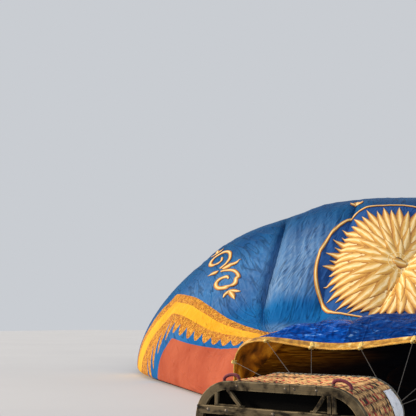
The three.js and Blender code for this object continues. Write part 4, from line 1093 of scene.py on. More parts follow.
# %% [markdown]
# ## Gold ornaments
# Gold motifs are sewn onto the blue cloth: a large rosette of pointed petals in a ring, pairs of scrolls at
# the sides and a small leaf at the crest. Each motif is drawn in flat metres, then laid on the folded cloth.
# Its rounded look is painted: dark at the edge, gold, and cream in the middle.


# %% From flat metres to the cloth
STRIP_POINTS, STRIP_LIFT = 7, 0.014


def laid_out(x, y, arc, distance):
    """A motif's x to the right and y up, in metres, as share and distance on the cloth: distance + y, and
    arc less x over the girth there, less the gores' turn."""
    at_along = distance + np.asarray(y, float)
    at_share = (
        arc - np.asarray(x, float) / np.interp(at_along, rows, girth) - station_value(at_along, "turn")
    )
    return at_share, at_along


def painted_strip(x, y, half_width, arc, distance, height=0.012):
    """A strip along a flat line: seven points across, spread by the half width at each place, and raised
    14 mm off the cloth plus height · sqrt(1 - across²)."""
    line = np.stack([x, y], -1)
    way = unit(np.gradient(line, axis=0))
    normal = np.stack([-way[:, 1], way[:, 0]], -1)
    across = np.linspace(-1, 1, STRIP_POINTS)
    spread = line[:, None] + across[None, :, None] * np.asarray(half_width)[:, None, None] * normal[:, None]
    lift = np.broadcast_to(STRIP_LIFT + height * np.sqrt(1 - across**2), spread.shape[:2])
    uv = np.stack(np.broadcast_arrays(distances(line)[:, None], 0.5 + 0.5 * across[None]), -1)
    return on_cloth(*laid_out(spread[..., 0], spread[..., 1], arc, distance), lift), uv


def ornament(name, strips, material):
    """Several strips as one object: each grid's faces are shifted by the number of points before it. If they
    face the ground and away from the camera on the whole, they are turned round."""
    before, faces = 0, []
    for points, _ in strips:
        faces.append(grid_faces(*points.shape[:2])[:, ::-1] + before)
        before += points.shape[0] * points.shape[1]
    points = np.concatenate([p.reshape(-1, 3) for p, _ in strips])
    uv = np.concatenate([u.reshape(-1, 2) for _, u in strips])
    made = make_piece(name, points, np.concatenate(faces), material, uv=uv)
    facing = np.sign(sum(p.normal[2] + 0.4 * -p.normal[1] for p in made.data.polygons))
    if facing < 0:
        made.data.flip_normals()
    return made


print("strips are", STRIP_POINTS, "points across")

# %% Gold cloth, painted to look carved
# The ornaments are gold nylon, shaded with dye from dark brown edges to a cream middle, in brush strokes
# about 220 mm long.
gold_cloth, tree, shader = new_material("painted gold nylon", {"Specular IOR Level": 0.35})
where = add(tree, "UVMap", uv_map="cloth")
way_across = add(tree, "SeparateXYZ", {0: where}).outputs[1]
strokes = add(tree, "Mapping", {"Vector": where, "Scale": (3.0, 9.0, 1.0)})
brushed = add(tree, "TexNoise", {"Vector": strokes, "Scale": 1.5, "Detail": 5.0, "Distortion": 0.7})
moved = add(tree, "Math", {0: brushed, 1: 0.35, 2: -0.175}, operation="MULTIPLY_ADD")
brush_across = add(tree, "Math", {0: way_across, 1: moved}, operation="ADD")
lower_edge = [(0.02, "6a370f"), (0.15, "ac7226"), (0.34, "d6a851"), (0.50, "f4dfab")]
upper_edge = [(0.63, "d9a94e"), (0.84, "9d6321"), (0.98, "60300b")]
carved = add(tree, "ValToRGB", {"Fac": brush_across}, stops=lower_edge + upper_edge)
brushed_gloss = add(tree, "Math", {0: brushed, 1: 0.3, 2: 0.35}, operation="MULTIPLY_ADD")
brushed_bump = add(tree, "Bump", {"Height": brushed, "Strength": 0.4, "Distance": 0.01})
connect(tree, shader, {"Base Color": carved, "Roughness": brushed_gloss, "Normal": brushed_bump})
print("gold cloth ready")

# %% Petals of the rosette
# The petals stand in four tiers, as on a carved ceiling rose. Columns: petals, turned by, inner and outer
# radius, widest half width.
TIERS = [
    (26, 0.0, 0.62, 1.91, 0.158),
    (26, 0.5, 0.62, 1.76, 0.158),
    (20, 0.0, 0.36, 1.18, 0.150),
    (11, 0.5, 0.12, 0.70, 0.150),
]
PETAL_POINTS, PETAL_BEND = 15, 0.014

petals = []
for tier, (count, shift, inner, outer, half) in enumerate(TIERS):
    for k in range(count):
        angle = 2 * np.pi * (k + shift) / count
        t = np.linspace(0, 1, PETAL_POINTS)
        reach = inner + (outer - inner) * t
        width = half * (1 + 0.6 * np.cos(angle) ** 2) * np.sin(np.pi * (0.25 + 0.75 * t)) + 0.002
        bend = PETAL_BEND * np.sin(np.pi * t * 1.5) * (1 if k % 2 else -1) * (tier < 2)
        x = reach * np.cos(angle) - bend * np.sin(angle)
        tall = DISC_TALL if np.sin(angle) > 0 else DISC_DEEP
        y = (reach * np.sin(angle) + bend * np.cos(angle)) * tall / DISC_WIDE
        petals.append(painted_strip(x, y, width, DISC_ARC, DISC_ALONG, height=0.010 + 0.006 * tier))
print("rosette petals", len(petals))

# %% Ring round the rosette, and the dome in its middle
RING_STEPS, RING_HALF_WIDTH, DOME_RADIUS, KNOB_RADIUS = 240, 0.052, 1.0, 0.15
BEADS = ((0.26, 0.034), (0.17, 0.028))

full_turn = np.linspace(0, 2 * np.pi, RING_STEPS)
ring_height = np.where(full_turn < np.pi, DISC_TALL, DISC_DEEP)
ring_power = np.where(full_turn < np.pi, 1.0, DISC_POINTED)
ring_width = np.sign(np.cos(full_turn)) * np.abs(np.cos(full_turn)) ** ring_power
ring_x, ring_y = DISC_WIDE * ring_width, ring_height * np.sin(full_turn)
ring_strip = painted_strip(ring_x, ring_y, np.full(RING_STEPS, RING_HALF_WIDTH), DISC_ARC, DISC_ALONG)

disc_t = np.linspace(-1, 1, 40)
disc_half = np.maximum(DOME_RADIUS * np.sqrt(1 - disc_t**2), 0.02)
dome_rings = [painted_strip(DOME_RADIUS * disc_t, 0 * disc_t, disc_half, DISC_ARC, DISC_ALONG, 0.0)]
for radius, half in BEADS:
    bead_x, bead_y = radius * np.cos(full_turn), radius * np.sin(full_turn) * 1.06
    dome_rings.append(painted_strip(bead_x, bead_y, np.full(RING_STEPS, half), DISC_ARC, DISC_ALONG, 0.03))
dome_t = np.linspace(-1, 1, 24)
knob_half = 0.155 * np.sqrt(np.maximum(1 - dome_t**2, 0.0004))
dome_rings.append(painted_strip(KNOB_RADIUS * dome_t, 0 * dome_t, knob_half, DISC_ARC, DISC_ALONG, 0.05))
ornament("ring_ornament", [ring_strip], gold_cloth)
ornament("rosette", petals + dome_rings, gold_cloth)
print("ring", 2 * DISC_WIDE, "m wide and", DISC_TALL + DISC_DEEP, "m high")


# %% Scrolls and leaves
# Leaves at the far end of a scroll: place, lean in radians, length and half width, for a scroll of size 1.
END_LEAVES = ((1.12, 0, 0.42, 0.09), (1.10, 0.9, 0.32, 0.06), (1.10, -0.9, 0.32, 0.06))


def spiral(turns, start_radius, end_radius, start_angle, way, count=60):
    """A spiral: the radius shrinks evenly from start to end while the angle runs through the turns."""
    t = np.linspace(0, 1, count)
    radius = start_radius + (end_radius - start_radius) * t**0.8
    angle = start_angle + way * 2 * np.pi * turns * t
    return radius * np.cos(angle), radius * np.sin(angle)


def leaf(x, y, angle, length, half, arc, distance):
    """A pointed leaf: its half width is half · sin(π · t to 0.7) at each share t of its length."""
    t = np.linspace(0, 1, 14)
    width = half * np.sin(np.pi * t**0.7) + 0.002
    tip_x, tip_y = length * np.cos(angle), length * np.sin(angle)
    return painted_strip(x + t * tip_x, y + t * tip_y, width, arc, distance)


def scroll_pair(arc, distance, size, mirror):
    """Two C scrolls, one above the other, with a leaf on each side between them and three at each far end."""
    strips = []
    for up in (1, -1):
        x, y = spiral(1.25, 0.52, 0.14, -np.pi / 2 * up, up * 1.0)
        width = 0.080 * np.sin(np.pi * np.linspace(0.10, 0.93, len(x))) ** 0.6
        strips.append(painted_strip(mirror * size * x, size * (y + up * 0.60), size * width, arc, distance))
        for place, lean, length, half in END_LEAVES:
            way = np.pi / 2 * up + lean
            strips.append(leaf(0, size * up * place, way, length * size, half * size, arc, distance))
    for side, length, half in ((mirror, 0.62, 0.10), (-mirror, 0.36, 0.08)):
        way = 0 if side > 0 else np.pi
        strips.append(leaf(side * 0.05 * size, 0, way, length * size, half * size, arc, distance))
    return strips


SCROLL_ARC, SCROLL_ALONG, SCROLL_SIZE = 0.640, 6.75, 1.15
CREST_ARC, CREST_ALONG = 0.508, 8.22
scrolls = scroll_pair(SCROLL_ARC, SCROLL_ALONG, SCROLL_SIZE, 1)
scrolls += scroll_pair(1 - SCROLL_ARC - 0.012, SCROLL_ALONG, SCROLL_SIZE, -1)
ornament("scrolls", scrolls, gold_cloth)
crest = []
for lean in (-0.7, 0.0, 0.7):
    crest.append(leaf(0, 0, np.pi / 2 + lean, 0.52 - 0.30 * abs(lean), 0.13, CREST_ARC, CREST_ALONG))
ornament("crest_leaf", crest, gold_cloth)
print("scroll strips", len(scrolls), "crest leaves", len(crest))

# %% [markdown]
# ## Basket
# The basket is woven from willow on upright stakes. It lies on its side, so its wooden underside is a wall
# facing the camera. From here on places are given in metres from the basket's centre line in X, from the
# underside in Y and from the ground in Z.

# %% Places on the basket
WALL_HALF_WIDTH, WALL_HALF_HEIGHT, WALL_CORNER, WALL_THICKNESS = 0.766, 0.546, 0.316, 0.024
WALL_FROM, WALL_TO = 0.0723, 1.1223
HOOP_HALF_WIDTH, HOOP_HALF_HEIGHT, HOOP_CORNER, HOOP_BAND = 0.780, 0.560, 0.330, 0.075
HOOP_FROM, HOOP_TO = 0.012, 0.072
RIM_Y, RIM_RADIUS = 1.1466, 0.024
OUTLINE_STEPS = 1440


def basket(x, y, z):
    """A point, or arrays of points, given in the basket's own metres."""
    x, y, z = np.broadcast_arrays(np.asarray(x, float), y, z)
    return np.stack([BASKET_X + x, UNDERSIDE_Y + y, z], -1)


def rounded_outline(half_width, half_height, corner, shares):
    """A rounded rectangle by share of its length, from the middle of its top clockwise seen from the front:
    points and directions out, both as (x, z). A dense outline is measured and interpolated."""
    turn = np.linspace(0, 2 * np.pi, OUTLINE_STEPS + 1)
    quarter = np.floor(turn / (np.pi / 2) % 4)
    sign_x, sign_z = np.where(quarter < 2, 1, -1), np.where((quarter == 0) | (quarter == 3), 1, -1)
    out = np.stack([np.sin(turn), np.cos(turn)], -1)
    centre = np.stack([sign_x * (half_width - corner), sign_z * (half_height - corner)], -1)
    dense = centre + corner * out
    dense = np.concatenate([[[0, half_height]], dense[1:-1], [[0, half_height]]])
    steps = distances(dense)
    wanted = np.asarray(shares) % 1 * steps[-1]
    points = np.stack([np.interp(wanted, steps, dense[:, k]) for k in (0, 1)], -1)
    directions = np.stack([np.interp(wanted, steps, out[:, k]) for k in (0, 1)], -1)
    return points + (0, BASKET_Z), unit(directions), steps[-1]


_, _, wall_girth = rounded_outline(WALL_HALF_WIDTH, WALL_HALF_HEIGHT, WALL_CORNER, np.zeros(1))
print("walls", round(wall_girth, 3), "m round")

# %% [markdown]
# Wicker is a weave of strands over and under upright stakes. A displaced grid is enough for it: each strand
# is a half-round ridge, and a cosine lifts it over one stake and drops it under the next. Neighbouring
# strands swap places, which gives the basket its look. Some strands are dyed dark red and some are brown.

# %% Woven willow walls
STRAND, STRANDS, STAKES, STEPS_OF_STRAND, STEPS_OF_STAKE = 0.018, 58, 78, 4, 4
WEAVE_DEPTH, STRAND_BULGE, WEAVE_SUNK, WEAVE_SAG, WEAVE_RANGE = 0.0062, 0.0060, 0.0075, 0.004, 0.0125

strand_rows = STRANDS * STEPS_OF_STRAND + 1
round_steps = STAKES * STEPS_OF_STAKE
weave_shares = np.arange(round_steps) / round_steps
outline, outline_out, _ = rounded_outline(WALL_HALF_WIDTH, WALL_HALF_HEIGHT, WALL_CORNER, weave_shares)
strand_place = np.arange(strand_rows) / STEPS_OF_STRAND
strand_number = np.minimum(strand_place.astype(int), STRANDS - 1)
in_strand = strand_place - strand_number
across_strand = np.sqrt(np.maximum(1 - (2 * in_strand - 1) ** 2, 0))
stake_phase = np.pi * (
    weave_shares[None] * STAKES
    + 0.25 * cloth_noise(strand_number[:, None] * 3.7, weave_shares[None] * 22, 31)
)
lift = np.cos(stake_phase + np.pi * strand_number[:, None])
sag = WEAVE_SAG * cloth_noise(np.arange(strand_rows)[:, None] / 40.0, weave_shares[None] * 14, 33)
weave = (
    WEAVE_DEPTH * lift * across_strand[:, None] + STRAND_BULGE * across_strand[:, None] - WEAVE_SUNK + sag
)
weave_y = WALL_FROM + (WALL_TO - WALL_FROM) * strand_place / STRANDS
outer = outline[None] + outline_out[None] * weave[..., None]
outer_wall = basket(outer[..., 0], weave_y[:, None], outer[..., 1])

inner_rows = STRANDS + 1
inner_number = np.arange(inner_rows)[::-1]
inner_lift = (
    0.003 * np.cos(np.pi * (weave_shares[None] * STAKES + inner_number[:, None])) - WALL_THICKNESS + 0.004
)
inner = outline[None] + outline_out[None] * inner_lift[..., None]
inner_y = WALL_FROM + (WALL_TO - WALL_FROM) * inner_number / STRANDS
inner_wall = basket(inner[..., 0], inner_y[:, None], inner[..., 1])

wall_points = np.concatenate([outer_wall, inner_wall])
wall_faces = outward(wall_points, grid_faces(len(wall_points), round_steps, True, True).tolist())
print("wicker", len(wall_faces), "faces, strands", 1000 * STRAND, "mm wide")

# %% Colour of each strand
# One number for each stretch of a strand between two stakes picks its dye, and a second one says how deep
# the point lies in the weave, which sets painted shade in the hollows and a painted highlight on the strands.
DYED, BROWN = 0.62, 0.86
dye_noise = np.random.default_rng(41).random((STRANDS, STAKES))
red_strands = np.isin(np.arange(STRANDS) % 8, (1, 4))
dark_strands = np.isin(np.arange(STRANDS) % 8, (6,))
dye = 0.12 + 0.30 * dye_noise
dye[red_strands] = np.where((np.arange(STAKES) % 2 == 0)[None], DYED, dye[red_strands])
dye[dark_strands] = np.where((np.arange(STAKES) % 2 == 1)[None], BROWN, dye[dark_strands])
dye = np.where(dye_noise > 0.93, BROWN, dye)
stake_of = (np.round(weave_shares * STAKES + 0.01).astype(int)) % STAKES
dye_outer = dye[strand_number][:, stake_of]
dye_points = np.concatenate([dye_outer, 0.35 * np.ones((inner_rows, round_steps))])
depth_points = np.concatenate(
    [(weave + WEAVE_SUNK) / WEAVE_RANGE, np.full((inner_rows, round_steps), 0.55)]
)
weave_uv_u = np.broadcast_to(weave_shares * wall_girth, wall_points.shape[:2])
weave_uv_v = np.concatenate([weave_y, inner_number * STRAND])[:, None] + 0 * weave_uv_u
print(
    "dyed red", round(float((dye == DYED).mean()), 2), "and brown", round(float((dye == BROWN).mean()), 2)
)

# %% Woven willow
# Buff willow is boiled and peeled, then woven wet. It ages from straw to brown, and the red is aniline dye.
# Its fibres are 4 mm apart and 40 mm long.
willow, tree, shader = new_material("woven willow", {"Specular IOR Level": 0.3})
where = add(tree, "UVMap", uv_map="cloth")
stored = add(tree, "Attribute", attribute_name="weave").outputs["Vector"]
dye_value, depth_value, _ = add(tree, "SeparateXYZ", {0: stored}).outputs
fibre_space = add(tree, "Mapping", {"Vector": where, "Scale": (25.0, 260.0, 1.0)})
grain = add(tree, "TexNoise", {"Vector": fibre_space, "Scale": 1.0, "Detail": 4.0})
dyed = add(
    tree,
    "ValToRGB",
    {"Fac": dye_value},
    stops=[
        (0.0, "aa8355"), (0.22, "cba06a"), (0.38, "a67d50"), (0.48, "b23f36"), (0.70, "982d2a"),
        (0.80, "352e1f"),
    ],
)
aged = add(tree, "ValToRGB", {"Fac": grain}, stops=[(0.3, 0.55), (0.7, 1.15)])
shaded = add(tree, "Mix", {0: 1.0, 6: dyed, 7: aged}, blend_type="MULTIPLY")
# Painted shade and highlight: nearly black deep in the weave, up to 1.85 times as bright on the strands'
# tops.
weave_shade_and_highlight = add(tree, "ValToRGB", {"Fac": depth_value}, stops=[(0.16, 0.02), (0.50, 0.82), (0.80, 1.85)])
weave_with_painted_light = add(tree, "Mix", {0: 1.0, 6: shaded, 7: weave_shade_and_highlight}, blend_type="MULTIPLY")
grain_gloss = add(tree, "Math", {0: grain, 1: 0.3, 2: 0.5}, operation="MULTIPLY_ADD")
fibres = add(tree, "Bump", {"Height": grain, "Strength": 0.5, "Distance": 0.0015})
connect(tree, shader, {"Base Color": weave_with_painted_light, "Roughness": grain_gloss, "Normal": fibres})

weave_uv = np.stack([weave_uv_u, weave_uv_v], -1)
walls = make_piece(
    "wicker_weave", wall_points, wall_faces, willow, stands_for=["wicker_walls"], uv=weave_uv
)
store_vectors(walls, "weave", np.stack([dye_points, depth_points, 0 * dye_points], -1))
print("strands", STRANDS, "of them red", int(red_strands.sum()))

# %% [markdown]
# ## Timber underside
# The underside is a hoop of ash, bent round the corners and bolted to two long skids, with short rails,
# posts and struts between them. It has stood outdoors for years, so the wood is grey and worn on its edges,
# where a painted highlight lightens them too, and dark with dirt in the grain. The grain follows each piece,
# so every piece carries a UV map in metres.

# %% Weathered ash
# Ash is steam bent and left rough from the saw. Its grain is 7 mm wide and 170 mm long, with stains of
# about 140 mm.
timber, tree, shader = new_material("weathered ash timber", {"Specular IOR Level": 0.15})
where = add(tree, "UVMap", uv_map="cloth")
stored = add(tree, "Attribute", attribute_name="wear_and_highlight").outputs["Vector"]
edge_wear_and_highlight, joint_line, _ = add(tree, "SeparateXYZ", {0: stored}).outputs
fibre_space = add(tree, "Mapping", {"Vector": where, "Scale": (6.0, 140.0, 1.0)})
fibre = add(
    tree,
    "TexNoise",
    {"Vector": fibre_space, "Scale": 1.0, "Detail": 6.0, "Roughness": 0.65, "Distortion": 0.3},
)
stains = add(tree, "TexNoise", {"Vector": where, "Scale": 7.0, "Detail": 6.0, "Roughness": 0.6})
wood = add(
    tree,
    "ValToRGB",
    {"Fac": fibre},
    stops=[(0.32, "0b0804"), (0.46, "1f170c"), (0.60, "3a2c18"), (0.76, "725c3c")],
)
dark = add(tree, "ValToRGB", {"Fac": stains}, stops=[(0.36, 0.26), (0.5, 0.74), (0.64, 1.55)])
stained = add(tree, "Mix", {0: 1.0, 6: wood, 7: dark}, blend_type="MULTIPLY")
# Edges greyed by wear and lightened by a painted highlight, where the stains let them show.
rubbed_through = add(tree, "ValToRGB", {"Fac": stains}, stops=[(0.40, 0.0), (0.56, 0.62)])
worn_and_lit_edge = add(tree, "Math", {0: edge_wear_and_highlight, 1: rubbed_through}, operation="MULTIPLY")
greyed_and_lit = add(tree, "Mix", {0: worn_and_lit_edge, 6: stained, 7: linear("ad9b78")})
cut = add(tree, "Mix", {0: joint_line, 6: greyed_and_lit, 7: linear("15110b")})
fibre_gloss = add(tree, "Math", {0: fibre, 1: 0.25, 2: 0.6}, operation="MULTIPLY_ADD")
furrows = add(tree, "Bump", {"Height": fibre, "Strength": 0.9, "Distance": 0.002})
connect(tree, shader, {"Base Color": cut, "Roughness": fibre_gloss, "Normal": furrows})
print("timber ready")


# %% Bars of timber
def rounded_profile(half_width, half_height, corner):
    """A rectangle of 20 points with corners cut round: four arcs of five points each."""
    angle = np.radians(np.array([0, 22.5, 45, 67.5, 90]))
    arc = np.stack([np.cos(angle), np.sin(angle)], -1) * corner
    centre = np.array([half_width - corner, half_height - corner])
    turns = [(1, 1, 1), (-1, 1, -1), (-1, -1, 1), (1, -1, -1)]
    return np.concatenate([((centre + arc) * (a, b))[::order] for a, b, order in turns])


def timber_piece(name, path, up, half_width, half_height, closed=False, joints=(), **more):
    """A bar of timber along a path, its surface a few tenths of a millimetre uneven. Wear with a painted
    highlight is 1 on the round corners and 0.35 where the flats begin, and the joint mark falls away over 4
    mm from each joint."""
    path = np.asarray(path, float)
    profile = rounded_profile(half_width, half_height, min(half_width, half_height) * 0.28)
    uneven = 1 + 0.012 * cloth_noise(np.arange(len(path))[:, None] / 3.0, np.arange(20)[None] / 2.5, 43)
    points = sweep(path, up, profile[None] * uneven[..., None], closed)
    distance = distances(path)
    outline_length = distances(profile)
    uv = pairs(distance, outline_length) + (1.7 * len(name), 0.31 * len(name))
    wear_and_highlight = np.broadcast_to(np.tile([0.35, 0.9, 1.0, 0.9, 0.35], 4), points.shape[:2])
    near_joint = np.zeros(len(path))
    for joint in joints:
        near_joint = np.maximum(near_joint, np.exp(-(((distance - joint) / 0.004) ** 2)))
    faces = outward(points, swept_faces(*points.shape[:2], closed))
    made = make_piece(name, points, faces, timber, uv=uv, **more)
    joint_mark = np.broadcast_to(near_joint[:, None], wear_and_highlight.shape)
    store_vectors(made, "wear_and_highlight", np.stack([wear_and_highlight, joint_mark, 0 * wear_and_highlight], -1))
    return made


print("a bar's outline has", len(rounded_profile(0.02, 0.01, 0.003)), "points")

# %% Bent hoop with its joints
HOOP_STEPS = 900
hoop_shares = np.arange(HOOP_STEPS) / HOOP_STEPS
middle_in = HOOP_BAND / 2
middle_line, _, hoop_length = rounded_outline(
    HOOP_HALF_WIDTH - middle_in, HOOP_HALF_HEIGHT - middle_in, HOOP_CORNER - middle_in, hoop_shares
)
hoop_path = basket(middle_line[:, 0], (HOOP_FROM + HOOP_TO) / 2, middle_line[:, 1])
hoop_joints = [0.13, 0.36, hoop_length - 0.36, hoop_length / 2 - 0.36, hoop_length / 2 + 0.36]
timber_piece(
    "bent_hoop",
    hoop_path,
    (0, 1, 0),
    middle_in,
    (HOOP_TO - HOOP_FROM) / 2,
    closed=True,
    joints=hoop_joints,
    stands_for=["timber_hoop"],
)
print("hoop", round(hoop_length, 2), "m along its middle")

# %% Skids
SKID_BARS = [("skid_bar_upper", "skid_upper", 0.873), ("skid_bar_lower", "skid_lower", 0.247)]
SKID_Y, SKID_HALF_THICK, SKID_HALF_HIGH = 0.025, 0.0248, 0.0348
for name, node, height in SKID_BARS:
    low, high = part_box(node)
    reach = np.linspace(low[0], high[0], 220) - BASKET_X
    timber_piece(
        name, basket(reach, SKID_Y, height), (0, 0, 1), SKID_HALF_THICK, SKID_HALF_HIGH, stands_for=[node]
    )
print("skids", len(SKID_BARS))

# %% Rails, posts and struts
# Above and below, each end of the underside has a rail and two or three bars, given by where they start and
# end in X.
POST_HALF, RAIL_HALF, RAIL_FROM, RAIL_Y, BRACE_Y = 0.014, 0.007, 0.9083, 0.038, 0.032
BRACES = [
    ("left", (-0.590, -0.300), [(-0.330, -0.457), (-0.568, -0.568)]),
    ("right", (0.300, 0.520), [(0.331, 0.425), (0.461, 0.461), (0.499, 0.499)]),
]


def hoop_inside(x):
    """Height of the hoop's inner edge above the centre line of the basket, from its straight part and arc."""
    inner_corner = HOOP_CORNER - HOOP_BAND
    past = np.maximum(np.abs(x) - (HOOP_HALF_WIDTH - HOOP_CORNER), 0)
    return HOOP_HALF_HEIGHT - HOOP_CORNER + np.sqrt(np.maximum(inner_corner**2 - past**2, 0))


for side, mirror in (("upper", 1), ("lower", -1)):
    for end, (rail_from, rail_to), bars in BRACES:
        node = f"underside_brace_{side}_{end}"
        rail_z = BASKET_Z + mirror * (RAIL_FROM + POST_HALF - BASKET_Z)
        rail_path = basket(np.linspace(rail_from, rail_to, 30), RAIL_Y, rail_z - mirror * RAIL_HALF)
        timber_piece(
            f"brace_rail_{side}_{end}", rail_path, (0, 0, 1), POST_HALF, RAIL_HALF, stands_for=[node]
        )
        for number, (foot, head) in enumerate(bars):
            top = BASKET_Z + mirror * (hoop_inside(head) + 0.004)
            post_x, post_z = np.linspace(foot, head, 24), np.linspace(rail_z - mirror * 0.012, top, 24)
            post_path = basket(post_x, BRACE_Y - 0.0005, post_z)
            timber_piece(
                f"brace_post_{side}_{end}_{number + 1}", post_path, (0, 1, 0), POST_HALF - 0.0005, 0.0195
            )
print("braces", 2 * len(BRACES))


# %% [markdown]
# Bolts, cylinders, burner parts and other turned metal pieces have an outline that goes round an axis, so
# one function turns an outline into a body. Half-round bolt heads hold the skids to the hoop.


# %% Turned bodies
def turned(profile, centre, axis, sides=32):
    """A body of revolution: each outline point's radius times the cosine and sine of the angle, across the
    axis, plus its height along the axis. The outline starts and ends on the axis."""
    axis = np.asarray(axis, float) / np.linalg.norm(axis)
    helper = np.array([0, 0, 1.0]) if abs(axis[2]) < 0.9 else np.array([1.0, 0, 0])
    side = np.cross(axis, helper)
    side /= np.linalg.norm(side)
    angle = even_angles(sides)
    ring = np.cos(angle)[:, None] * side + np.sin(angle)[:, None] * np.cross(axis, side)
    profile = np.asarray(profile, float)
    inner = profile[1:-1]
    points = np.asarray(centre) + inner[:, None, :1] * ring[None] + inner[:, None, 1:] * axis
    ends = np.asarray(centre) + profile[[0, -1], 1:] * axis
    skin = grid_faces(len(inner), sides, round_columns=True).tolist()
    total = len(inner) * sides
    around = [(k, (k + 1) % sides) for k in range(sides)]
    caps = [[b, a, total] for a, b in around]
    caps += [[total - sides + a, total - sides + b, total + 1] for a, b in around]
    points = np.concatenate([points.reshape(-1, 3), ends])
    return points, outward(points, skin + caps)


def many_turned(name, profile, centres, axis, material, sides=12, **more):
    """The same turned body at several centres, as one object."""
    built = [turned(profile, centre, axis, sides) for centre in centres]
    size = len(built[0][0])
    faces = [[corner + k * size for corner in face] for k, (_, part) in enumerate(built) for face in part]
    return make_piece(name, np.concatenate([points for points, _ in built]), faces, material, **more)


print("a turned cone has", len(turned([(0, 0), (1, 0), (0, 1)], (0, 0, 0), (0, 0, 1))[1]), "faces")

# %% Coach bolts
BOLT_HEAD = [(0, 0.007), (0.005, 0.0065), (0.009, 0.004), (0.011, 0.0)]
BOLT_HEAD += [(0.017, 0.0), (0.017, -0.002), (0, -0.002)]
BOLT_XS, HOOP_BOLT_XS = (-0.64, -0.46, -0.02, 0.40, 0.62), (-0.36, 0.09, 0.17, 0.36)
bolt_places = [basket(x, -0.0005, height) for _, _, height in SKID_BARS for x in BOLT_XS]
# Zinc plated bolts weather to rust and grey zinc in spots of about 8 mm.
rusty_bolts = grained(
    "weathered zinc bolts",
    {"Metallic": 0.8},
    {"Scale": 120.0, "Detail": 4.0},
    [(0.35, "3a2a1c"), (0.65, "7b756a")],
    gloss=(0.4, 0.35),
)
many_turned("coach_bolts", BOLT_HEAD, bolt_places, (0, -1, 0), rusty_bolts, sides=14)
hoop_bolts = []
for x in HOOP_BOLT_XS:
    for side in (1, -1):
        bolt_z = BASKET_Z + side * (HOOP_HALF_HEIGHT - HOOP_BAND / 2)
        hoop_bolts.append(basket(x, HOOP_FROM - 0.0005, bolt_z))
many_turned("hoop_bolts", np.array(BOLT_HEAD) * 0.7, hoop_bolts, (0, -1, 0), rusty_bolts, sides=12)
print("bolts", len(bolt_places) + len(hoop_bolts))

# %% [markdown]
# ## Rim, handles, floor and banner
# The rim is a foam tube in a suede cover, soft to lean on, and laced to the top strands of the weave. Rope
# handles come out of the weave at the corners. The rope has three strands laid round each other, which is a
# tube whose radius rises and falls three times round, turned a little further at each step.

# %% Suede, laid rope and lace
# Suede is leather with its flesh side out, whose nap lies in patches of about 70 mm.
suede = grained(
    "grey suede cover",
    {"Roughness": 0.9, "Sheen Weight": 0.25, "Specular IOR Level": 0.2},
    {"Scale": 14.0, "Detail": 8.0, "Roughness": 0.7},
    [(0.3, "3d3a33"), (0.5, "5d5a50"), (0.7, "7f7b6e")],
    bump=(0.6, 0.002),
    on_map=True,
)
# Rawhide is untanned skin cut in a thong, blotched at about 25 mm.
leather_lace = grained(
    "rawhide lace",
    {"Roughness": 0.7},
    {"Scale": 40.0, "Detail": 4.0},
    [(0.3, "4a3a26"), (0.7, "7a6344")],
    bump=(0.4, 0.001),
)


def rope_material(name, dark_hex, light_hex):
    """Twisted polyester fibres: slanting streaks 40 mm long and 6 mm apart, with painted shade between the
    strands.
    """
    material, tree, shader = new_material(name, {"Roughness": 0.85, "Sheen Weight": 0.2})
    where = add(tree, "UVMap", uv_map="cloth")
    turned_uv = add(tree, "Mapping", {"Vector": where, "Scale": (60.0, 9.0, 1.0), "Rotation": (0, 0, 0.5)})
    fuzz = add(tree, "TexNoise", {"Vector": turned_uv, "Scale": 3.0, "Detail": 5.0})
    groove = add(tree, "Attribute", attribute_name="groove").outputs["Vector"]
    height = add(tree, "SeparateXYZ", {0: groove}).outputs[0]
    fibre_colour = add(tree, "ValToRGB", {"Fac": fuzz}, stops=[(0.3, dark_hex), (0.7, light_hex)])
    shade = add(tree, "ValToRGB", {"Fac": height}, stops=[(0.0, 0.25), (0.5, 0.9), (1.0, 1.0)])
    both = add(tree, "Mix", {0: 1.0, 6: fibre_colour, 7: shade}, blend_type="MULTIPLY")
    fuzz_bump = add(tree, "Bump", {"Height": fuzz, "Strength": 0.6, "Distance": 0.001})
    connect(tree, shader, {"Base Color": both, "Normal": fuzz_bump})
    return material


def laid_rope(name, path, up, radius, pitch, material, sides=15, **more):
    """Radius · (0.86 + 0.14 · |cos(1.5 · (angle - 2π · distance / pitch))|): three lobes that turn once for
    each pitch of the rope."""
    path = np.asarray(path, float)
    distance = distances(path)
    angle = even_angles(sides)
    lobes = np.abs(np.cos(1.5 * (angle[None] - 2 * np.pi * distance[:, None] / pitch)))
    reach = radius * (0.86 + 0.14 * lobes)
    profile = np.stack([reach * np.cos(angle), reach * np.sin(angle)], -1)
    points = sweep(path, up, profile)
    faces = outward(points, swept_faces(*points.shape[:2]))
    uv = pairs(distance, angle * radius)
    made = make_piece(name, points, faces, material, uv=uv, **more)
    store_vectors(made, "groove", np.repeat(lobes[..., None], 3, -1))
    return made


maroon_rope = rope_material("maroon polyester rope", "4a1020", "8e2b3e")
print("suede and rope ready")

# %% Padded rim
RIM_STEPS, RIM_SIDES, RIM_INSET, LACE_TURNS, LACE_STEPS = 520, 18, 0.012, 94, 12


def rim_outline(shares):
    """The rim's middle line and directions out, on the walls' outline moved in by 12 mm."""
    half_width, half_height = WALL_HALF_WIDTH - RIM_INSET, WALL_HALF_HEIGHT - RIM_INSET
    return rounded_outline(half_width, half_height, WALL_CORNER - RIM_INSET, shares)


